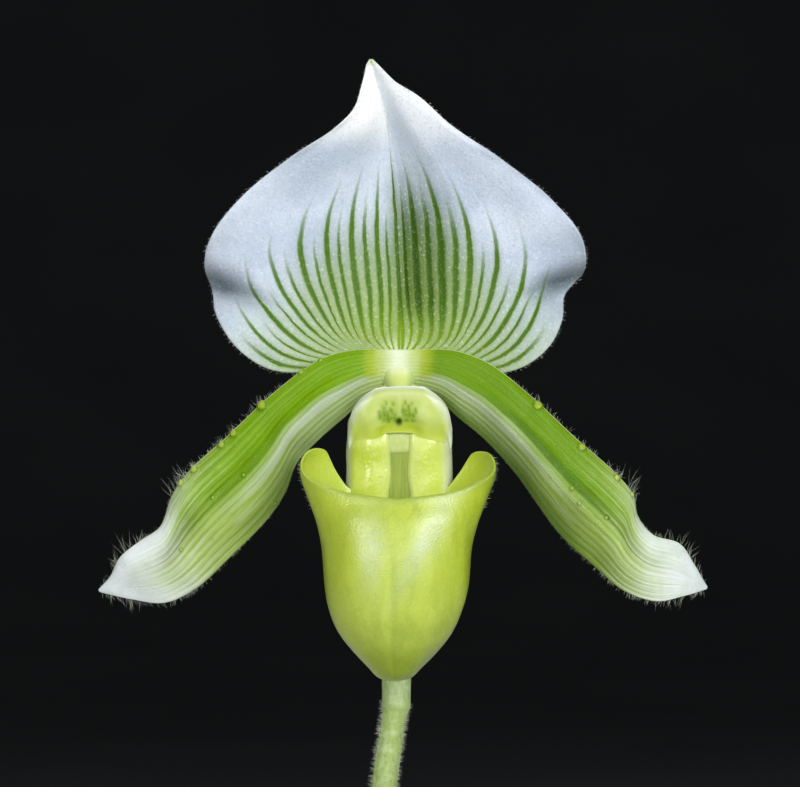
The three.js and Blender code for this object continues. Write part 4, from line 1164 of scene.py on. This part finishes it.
def make_bract():
    _, t, S, T = net(rows=60, columns=70)
    middle = (curve(OVARY_PATH, 0.4 * t) + FLOWER)[:, None]
    shut = ease(T, 0.2, 0.42)
    angle = np.pi / 2 - S * np.radians(180 + 18 * shut) * (1 - 0.86 * ease(T, 0.3, 1.08))
    radius = 1.7 + 1.1 * ease(T, 0.17, 0.36) + 1.1 * ease(T, 0.3, 1)
    radius += 0.3 * S * shut * ease(T, 0.75, 0.5) + 0.06 * np.cos(9 * np.pi * S) * ease(T, 0.12, 0.3)
    ring = np.stack([radius * np.cos(angle), radius * np.sin(angle), np.zeros_like(S)], -1)
    shape = Shape()
    sheet(shape, middle + ring, 0.5 * (1 - 0.5 * S**4 * shut) * ease(T, -0.03, 0.06), 1, 0, t=1.0)
    low = np.linspace(0, 0.1, 24)
    collar = 2.28 + 0.06 * ease(low, 0.03, 0.08) - 0.6 * ease(low, 0.085, 0.1)
    below = STEM_TOP - UP * np.linspace(2.4, 0.6, 16)[:, None]
    flared = 1.75 + 0.53 * ease(np.linspace(0, 1, 16), 0.0, 1.0)
    centres = np.vstack([below, curve(OVARY_PATH, low) + FLOWER])
    tube(shape, centres, np.concatenate([flared, collar]), 48)
    paint = stem_paint("bract_pale", srgb(174, 193, 140), srgb(150, 174, 108), srgb(166, 190, 112))
    shape.build("bract", "bract", paint)


# The leaves and the short stem base that carries them.
LEAF_FOOT = 9.5
LEAF_KEEL = 0.14
LEAVES = [
    dict(azimuth=6, base=83, reach=116, peak=139, tip=108, half=20.5),
    dict(azimuth=187, base=85.5, reach=112, peak=146, tip=119, half=20),
    dict(azimuth=-28, base=88.8, reach=100, peak=164, tip=146, half=19.5),
    dict(azimuth=153, base=91.6, reach=94, peak=172, tip=160, half=19),
    dict(azimuth=33, base=93.6, reach=74, peak=183, tip=182, half=17.5),
    dict(azimuth=214, base=96.5, reach=66, peak=190, tip=192, half=16.5),
    dict(azimuth=102, base=99, reach=36, peak=166, tip=174, half=10),
]
LEAF_MIDRIB = [(0, 0), (0.1, 0.34), (0.33, 0.8), (0.64, 1)]
LEAF_WIDTH = [
    (0, 0.3), (0.08, 0.34), (0.25, 0.62), (0.45, 0.92), (0.62, 1), (0.8, 0.88), (0.92, 0.58),
    (0.98, 0.26),
    (1, 0.05),
]
LEAF_FOLD = [(0, 84), (0.1, 66), (0.2, 46), (0.4, 24), (0.7, 13), (1, 9)]


def leaf_paint():
    p = flesh("leaf_mottled", 0.36, 0.12, (0.6, 1, 0.3), specular_ior_level=0.45)
    u, v, back, t = p.values("u v back t")
    side = u + (p.noise(9) - 0.5) * 5
    blot = p.noise(1000, 3, p.place(side * 0.16, v * 0.055))
    tile = p.cells(1000, "F1", p.place(side * 0.5, v * 0.17), "Color")
    chance = p.out(0, "SeparateColor", Color=tile)
    dark = (blot * 0.75 + chance * 0.25).ease(0.44, 0.58)
    color = p.mix(dark, srgb(139, 163, 112), srgb(52, 88, 44))
    vein = p.bands(u * 0.62).ease(0.16, 0.03)
    under = p.mix(vein * 0.4, srgb(128, 156, 92), srgb(104, 134, 72))
    color = color.tint(
        (p.noise(26, 2).ease(0.4, 0.7) * 0.3, 86, 122, 62),
        (vein * 0.25, 60, 96, 50),
        (abs(u).ease(0.9, 0.2) * 0.55, 150, 176, 104),
    )
    color = p.mix(back, color, under)
    color = color.tint((t.ease(0.16, 0.04) * 0.8, 160, 178, 108))
    p.bump((p.noise(4, 3), 0.12), (vein, -0.12), (p.noise(0.7, 2), 0.03))
    return p.done(color, p.noise(14, 3).ease(0.3, 0.7, 0.3, 0.46))


def compass(azimuth):
    """The level directions outward and to the left at an azimuth."""
    turn = math.radians(azimuth)
    out = np.array([math.cos(turn), math.sin(turn), 0])
    return out, np.array([-out[1], out[0], 0])


def leaf_grid(leaf, s, t):
    """Places on a leaf, its half width at each share of its length, and its length."""
    out, side = compass(leaf["azimuth"])
    foot, span = leaf["base"], leaf["reach"] - LEAF_FOOT
    places = [out * 2 + UP * (foot - 15), out * 6.5 + UP * (foot - 5)]
    for far, high in LEAF_MIDRIB:
        places.append(out * (LEAF_FOOT + far * span) + UP * (foot + high * (leaf["peak"] - foot)))
    places.append(out * leaf["reach"] + UP * leaf["tip"])
    fine = polyline(places)
    length = lengths(fine)[-1]
    centre = curve(places, t)
    up = np.cross(unit(np.gradient(centre, axis=0)), side)
    width = leaf["half"] * through(LEAF_WIDTH, t)
    fold = np.radians(through(LEAF_FOLD, t))
    rise = np.hypot(s, LEAF_KEEL) - LEAF_KEEL
    grid = (
        centre[:, None]
        + side * (np.outer(width * np.cos(fold), s))[..., None]
        + unit(up)[:, None] * (np.outer(width * np.sin(fold), rise))[..., None]
    )
    return grid, width, length


def make_leaf(number, leaf, paint):
    s, t, S, T = net(rows=130, columns=41)
    grid, width, length = leaf_grid(leaf, s, t)
    width = width[:, None]
    normal = facing(grid, -1)
    wave = np.sin(T * length * 2 * np.pi / 47 + number * 1.9 + 1.2 * S) * S**2 * ease(T, 0.2, 0.5)
    lift = 0.8 * wave * ease(T, 1.0, 0.9) + 0.5 * ripple(grid, 34.0, 80 + number) * ease(T, 0.1, 0.4)
    ribs = 0.05 * np.cos(S * width * 0.62 * 2 * np.pi) * ease(T, 1.0, 0.93)
    groove = -0.45 * bell(S * width, 0, 0.9)
    grid = grid + normal * (lift + ribs + groove)[..., None]
    thick = 0.55 + 0.95 * (1 - np.abs(S) ** 1.5) * (1 - 0.45 * T) + 0.7 * bell(S * width, 0, 1.1)
    shape = Shape()
    thick = thick * ease(T, 1.06, 0.9)
    sheet(shape, grid, thick, -1, 0, t=T, u=S * width, v=T * length + 200 * number)
    name = f"leaf_{number}"
    shape.build(name, "leaf", paint)


def sheath_paint():
    p = Paint("leaf_base_papery", 0.6)
    v, u = p.values("v u")
    fibre = p.noise(1000, 3, p.place(u * 2.4, v * 0.12))
    color = p.mix(fibre.ease(0.35, 0.65), srgb(142, 152, 84), srgb(104, 112, 58))
    color = color.tint((p.noise(5, 3).ease(0.4, 0.6) * p.value("dry"), 140, 104, 64))
    p.bump((fibre, 0.3), (p.noise(0.8, 2), 0.08))
    return p.done(color)


# The dry leaf bases: azimuth, radius, height of the foot, length.
SHEATHS = [(200, 8.6, 76, 12), (20, 8.2, 76, 15), (250, 7.6, 77, 18), (80, 7.4, 77, 19),
           (170, 6.4, 80, 22)]


def make_crown():
    shape = Shape()
    path = np.linspace([0, 0, 76.5], [0, 0, 101], 30)
    size = 7.2 - 3.4 * ease(path[:, 2], 80, 101)
    tube(shape, path, size, 48, 0, lambda a, t: 1 + 0.05 * np.cos(3 * a + 4 * t), u=0.0, v=0.0, dry=0.4)
    _, _, S, T = net(rows=30, columns=60)
    for i, (azimuth, radius, foot, height) in enumerate(SHEATHS):
        angle = np.radians(azimuth + S * (150 - 60 * T))
        rough = ripple(np.stack([S * 12, T * 20, S * 0], -1), 9.0, 90 + i)
        far = radius * (1 + 0.12 * T) + 0.3 * rough
        top = height * (1 - 0.35 * S**2 + 0.05 * np.sin(9 * S + i))
        grid = np.stack([far * np.cos(angle), 0.85 * far * np.sin(angle), foot + T * top], -1)
        dry = 1.0 if i < 3 else 0.3
        sheet(shape, grid, 0.7 * (1 - 0.5 * T), 1, 0, u=S * 18, v=T * height + 31 * i, dry=dry)
    shape.build("crown", "leaf_base", sheath_paint())


# The roots: azimuth and reach.
ROOTS = [(58, 17), (-45, 15), (262, 18), (110, 14)]


def root_paint():
    p = Paint("root_felted", 0.85)
    color = p.mix(p.noise(2.4, 4).ease(0.35, 0.65), srgb(118, 88, 58), srgb(164, 132, 92))
    color = color.tint((p.noise(0.5, 2).ease(0.45, 0.7) * 0.5, 92, 66, 44))
    p.bump((p.noise(1.3, 4), 0.3), (p.noise(0.35, 2), 0.15))
    return p.done(color)


def make_roots():
    paint = root_paint()
    for number, (azimuth, reach) in enumerate(ROOTS, 1):
        out, side = compass(azimuth)
        plan = [(6.0, 3.6, 0), (9.8, 4.0, 0.4), (12.5, 4.6, 0.9), (12.5 + 0.35 * reach, 3.2, -0.6),
                (12.5 + 0.7 * reach, 1.2, 0.7), (14.5 + 0.8 * reach, -1.2, 1.0)]
        share = np.linspace(0, 1, 70)
        path = curve([out * far + side * off + UP * (77.3 + z) for far, z, off in plan], share)
        size = 1.6 * (1 - 0.35 * share) * (1 + 0.09 * ripple(path, 5.0, 100 + number))
        shape = Shape()
        warp = lambda a, t: 1 + 0.05 * np.cos(3 * a + 9 * t) + 0.03 * np.cos(7 * a - 14 * t)
        tube(shape, path, size, 28, 0, warp)
        tube_hairs(shape, path, size, 500, 0.45, 110 + number, 0)
        name = f"root_{number}"
        shape.build(name, "root", paint)


# The pot and what fills it.
POT_INNER = [(5, 31.5), (86.5, 46.5)]
BARK_TOP = 77
CHIPS = 430
GOLDEN_ANGLE = 2.39996


def pot_inside(z):
    return np.interp(z, *zip(*POT_INNER))


def bark_paint(name, lighter):
    p = Paint(name, 0.85)
    tone, u, v, w = p.values("tone u v w")
    layer = p.noise(1000 * 3, 4, p.out(0, "CombineXYZ", X=u, Y=v, Z=w * 3.5))
    color = p.mix(layer.ease(0.35, 0.65), srgb(128 + lighter, 86 + lighter, 58), srgb(78, 50, 36))
    color = color.tint(
        (tone.ease(0.3, 1) * 0.6, 160 + lighter, 112 + lighter, 74),
        (p.noise(5, 4).ease(0.5, 0.7) * 0.5, 58, 40, 32),
    )
    p.bump((p.noise(1.6, 5), 0.6), (layer, 0.5), (p.noise(0.5, 3), 0.15))
    return p.done(color)


def lump(size, rng, steps=5):
    """A broken block: a cube of points cut by a few planes and roughened."""
    line = np.linspace(-1, 1, steps)
    A, B = np.meshgrid(line, line, indexing="ij")
    points, faces = [], []
    for axis in range(3):
        for end in (-1, 1):
            face = np.empty((steps, steps, 3))
            face[..., axis] = end
            face[..., (axis + 1) % 3], face[..., (axis + 2) % 3] = A, B
            quads = grid_faces(steps, steps) + len(points) * steps * steps
            faces.append(quads if end > 0 else quads[:, ::-1])
            points.append(face.reshape(-1, 3))
    cube = np.vstack(points)
    place = cube / np.linalg.norm(cube, axis=1, keepdims=True) ** 0.55 * size
    for _ in range(6):
        way = unit(rng.normal(size=3) * [1, 1, 0.7])
        depth = rng.uniform(0.62, 0.9) * np.max(np.abs(place @ way))
        over = np.maximum(place @ way - depth, 0)
        place = place - over[:, None] * way * 0.92
    place = place * (1 + 0.09 * ripple(place, 2.6, int(rng.integers(1e6)))[:, None])
    return place, faces


def turned(rng, lean):
    """A random turn about +Z after a small lean."""
    spin, tilt, way = rng.uniform(0, FULL_TURN), rng.normal(scale=lean), rng.uniform(0, FULL_TURN)
    c, s = np.cos(spin), np.sin(spin)
    about = np.array([[c, -s, 0], [s, c, 0], [0, 0, 1]])
    axis = np.array([np.cos(way), np.sin(way), 0])
    cross = np.array([[0, 0, axis[1]], [0, 0, -axis[0]], [-axis[1], axis[0], 0]])
    return (np.eye(3) + np.sin(tilt) * cross + (1 - np.cos(tilt)) * cross @ cross) @ about


def make_bark():
    shape = Shape()
    wall = [(pot_inside(z) - 0.5, z) for z in (6.0, 30, 60, 75.5)]
    top = [(radius, 76.4) for radius in np.linspace(pot_inside(76) - 0.8, 1.5, 44)]
    grid = lathe(wall + top, 150)
    grid[4:, :, 2] += 0.8 * ripple(grid[4:], 8.0, 121) + 0.4 * ripple(grid[4:], 3.5, 122)
    u, v, w = np.moveaxis(grid, -1, 0)
    closed(shape, grid, u=u, v=v, w=w, tone=0.0)
    shape.build("bark_mix", "bark", bark_paint("bark_fill", -30))

    rng = np.random.default_rng(131)
    shape = Shape()
    for i in range(CHIPS):
        radius = 41.5 * math.sqrt((i + 0.5) / CHIPS)
        turn = i * GOLDEN_ANGLE + rng.normal(scale=0.15)
        if radius < 8.5:
            continue
        size = np.array([1, rng.uniform(0.55, 0.8), rng.uniform(0.35, 0.5)]) * rng.uniform(2.2, 4.6)
        block, faces = lump(size, rng)
        height = BARK_TOP + rng.uniform(-0.9, 1.2)
        centre = np.array([radius * math.cos(turn), radius * math.sin(turn), height])
        place = block @ turned(rng, 0.35).T + centre
        u, v, w = (block + rng.uniform(0, 90, 3)).T
        shape.add(place, faces, 0, u=u, v=v, w=w, tone=rng.uniform())
    chips = [f"bark_chip_{k:02d}" for k in range(1, 15)]
    shape.build("bark_chips", "bark_chip", bark_paint("bark_chips", 6), nodes=chips)


def clay_paint():
    p = Paint("terracotta", 0.82, specular_ior_level=0.3)
    cloud = p.noise(18.0, 4.0)
    color = p.mix(cloud.ease(0.3, 0.7), srgb(186, 112, 78), srgb(204, 134, 98))
    ring = p.noise(3.2, 3.0, stretch=(0.04, 0.04, 1.0))
    # The clay's own pale salt bloom, more towards the foot.
    bloom = p.noise(16.0, 8.0).ease(0.5, 0.75) * p.axis("Z").ease(80 * MM, 10 * MM, 0.12, 0.5)
    color = color.tint(
        (ring.ease(0.4, 0.7) * 0.25, 168, 96, 66),
        (p.cells(2.6).ease(0.16, 0.06) * 0.35, 140, 78, 54),
        (bloom, 218, 190, 170),
    )
    p.bump((ring, 0.22), (p.noise(1.4, 4.0), 0.16), (p.noise(0.4, 2.0), 0.06))
    return p.done(color, cloud.ease(0.3, 0.7, 0.75, 0.9))


POT_SIDES, POT_STEP = 176, 2.2
POT_PROFILE = [
    (0, 0), (33, 0), (34.5, 0), (35.4, 0.4), (36, 1.5), (41.2, 34.5), (46.5, 68.2), (46.9, 69),
    (50.6, 69),
    (51.6, 69.4), (52, 70.5), (52, 86.2), (51.6, 87.5), (50.5, 88), (48, 88), (46.9, 87.6),
    (46.45, 86.5),
    (41.5, 60), (31.9, 7), (31.3, 5.5), (30, 5), (0, 5),
]


def make_pot():
    fine = []
    for (r0, z0), (r1, z1) in zip(POT_PROFILE, POT_PROFILE[1:]):
        steps = max(1, round(math.hypot(r1 - r0, z1 - z0) / POT_STEP))
        fine += [(r0 + (r1 - r0) * k / steps, z0 + (z1 - z0) * k / steps) for k in range(steps)]
    grid = lathe(fine[1:], POT_SIDES)
    grid[..., :2] *= (1 + 0.0014 * np.cos(2 * circle(POT_SIDES) + 0.6))[:, None]
    shape = Shape()
    closed(shape, grid, hubs=([0, 0, POT_PROFILE[0][1]], [0, 0, POT_PROFILE[-1][1]]))
    pot = shape.build("pot", "clay", clay_paint())
    drills = Shape()
    for k in range(4):
        turn = math.radians(45 + 90 * k)
        at = np.array([18 * math.cos(turn), 18 * math.sin(turn), 0])
        tube(drills, np.linspace(at - 4 * UP, at + 9 * UP, 3), np.full(3, 4.5), 40)
    tool = drills.item("drills", smooth=False)
    cut = pot.modifiers.new("drain", "BOOLEAN")
    cut.operation, cut.solver, cut.object = "DIFFERENCE", "EXACT", tool
    bpy.context.view_layer.update()
    done = bpy.data.meshes.new_from_object(pot.evaluated_get(bpy.context.evaluated_depsgraph_get()))
    pot.modifiers.clear()
    pot.data = done
    done.set_sharp_from_angle(angle=math.radians(50))
    bpy.data.objects.remove(tool)


# The studio, in metres: a light's azimuth, elevation, distance, size and power in watts.
LIGHT_AIM = Vector((0, 0, 0.27))
LIGHTS = [
    ("key", 34, 25, 1.7, (0.75, 1.0), 20),
    ("side", -30, 18, 1.7, (0.35, 0.9), 9.5),
    ("front", 2, 7, 2.2, (1.5, 1.0), 10),
    ("back", 190, 42, 2.0, (1.4, 1.2), 12),
]
SKY_COLOR, SKY_STRENGTH = (0.98, 0.99, 1.0, 1), 0.22
CAMERA_PLACE, LENS, SENSOR_WIDTH = (0, -0.608, 0.31555), 172.8, 36
STAGE_PROFILE = [
    (0, 0), (0.4, 0), (1.5, 0), (3.5, 0), (4.6, 0.15), (5.5, 0.7), (6.2, 1.8), (6.5, 3.5), (6.5, 8),
]


def backdrop_paint():
    p = Paint("backdrop", 0.9, specular_ior_level=0.1)
    far = p.out("Value", "VectorMath", {"operation": "LENGTH"}, i0=p.where())
    shade = p.mix(far.ease(0.4, 2.2), srgb(208, 208, 206), srgb(50, 52, 54))
    return p.done(shade.tint((p.noise(300, 2) * 0.04, 180, 180, 178)))


def make_stage():
    """A round floor that curves up into a wall, in metres."""
    fine = polyline([(r, z, 0) for r, z in STAGE_PROFILE], 6)[:, :2]
    grid = lathe(np.maximum(fine, 0), 96) / MM
    shape = Shape()
    shape.add(grid, [grid_faces(*grid.shape[:2], wrap=True)])
    shape.item("backdrop", [backdrop_paint()])


def add_light(name, azimuth, elevation, far, size, power):
    """A soft panel that faces the plant. Azimuth 0 is the camera's side and 90 is +X."""
    a, e = math.radians(azimuth), math.radians(elevation)
    way = Vector((math.sin(a) * math.cos(e), -math.cos(a) * math.cos(e), math.sin(e)))
    data = bpy.data.lights.new(name, "AREA")
    data.shape, data.size, data.size_y = "RECTANGLE", *size
    data.energy = power
    light = bpy.data.objects.new(name, data)
    light.location = LIGHT_AIM + way * far
    light.rotation_euler = way.to_track_quat("Z", "Y").to_euler()
    light.visible_camera = False
    bpy.context.scene.collection.objects.link(light)


def make_studio():
    scene = bpy.context.scene
    for light in LIGHTS:
        add_light(*light)
    world = bpy.data.worlds.new("studio")
    world.use_nodes = True
    ground = world.node_tree.nodes["Background"]
    ground.inputs["Color"].default_value = SKY_COLOR
    ground.inputs["Strength"].default_value = SKY_STRENGTH
    scene.world = world
    scene.view_settings.view_transform = "Standard"
    lens = bpy.data.cameras.new("camera")
    lens.lens, lens.sensor_width, lens.clip_start, lens.clip_end = LENS, SENSOR_WIDTH, 0.05, 40
    camera = bpy.data.objects.new("camera", lens)
    camera.location, camera.rotation_euler = CAMERA_PLACE, (math.pi / 2, 0, 0)
    scene.collection.objects.link(camera)
    scene.camera = camera


petal_coat = petal_paint()
make_dorsal()
make_lower_sepal()
make_petal("petal_left", LEFT_UPPER, LEFT_LOWER, LEFT_WARTS, 1, 17, 0.0, petal_coat)
make_petal("petal_right", RIGHT_UPPER, RIGHT_LOWER, RIGHT_WARTS, -1, 27, 1.0, petal_coat)
make_lip()
make_column()
make_staminode()
make_anthers()
make_ovary()
make_bract()
make_stem()
leaf_coat = leaf_paint()
for order, form in enumerate(LEAVES, 1):
    make_leaf(order, form, leaf_coat)
make_crown()
make_roots()
make_bark()
make_pot()
make_stage()
make_studio()
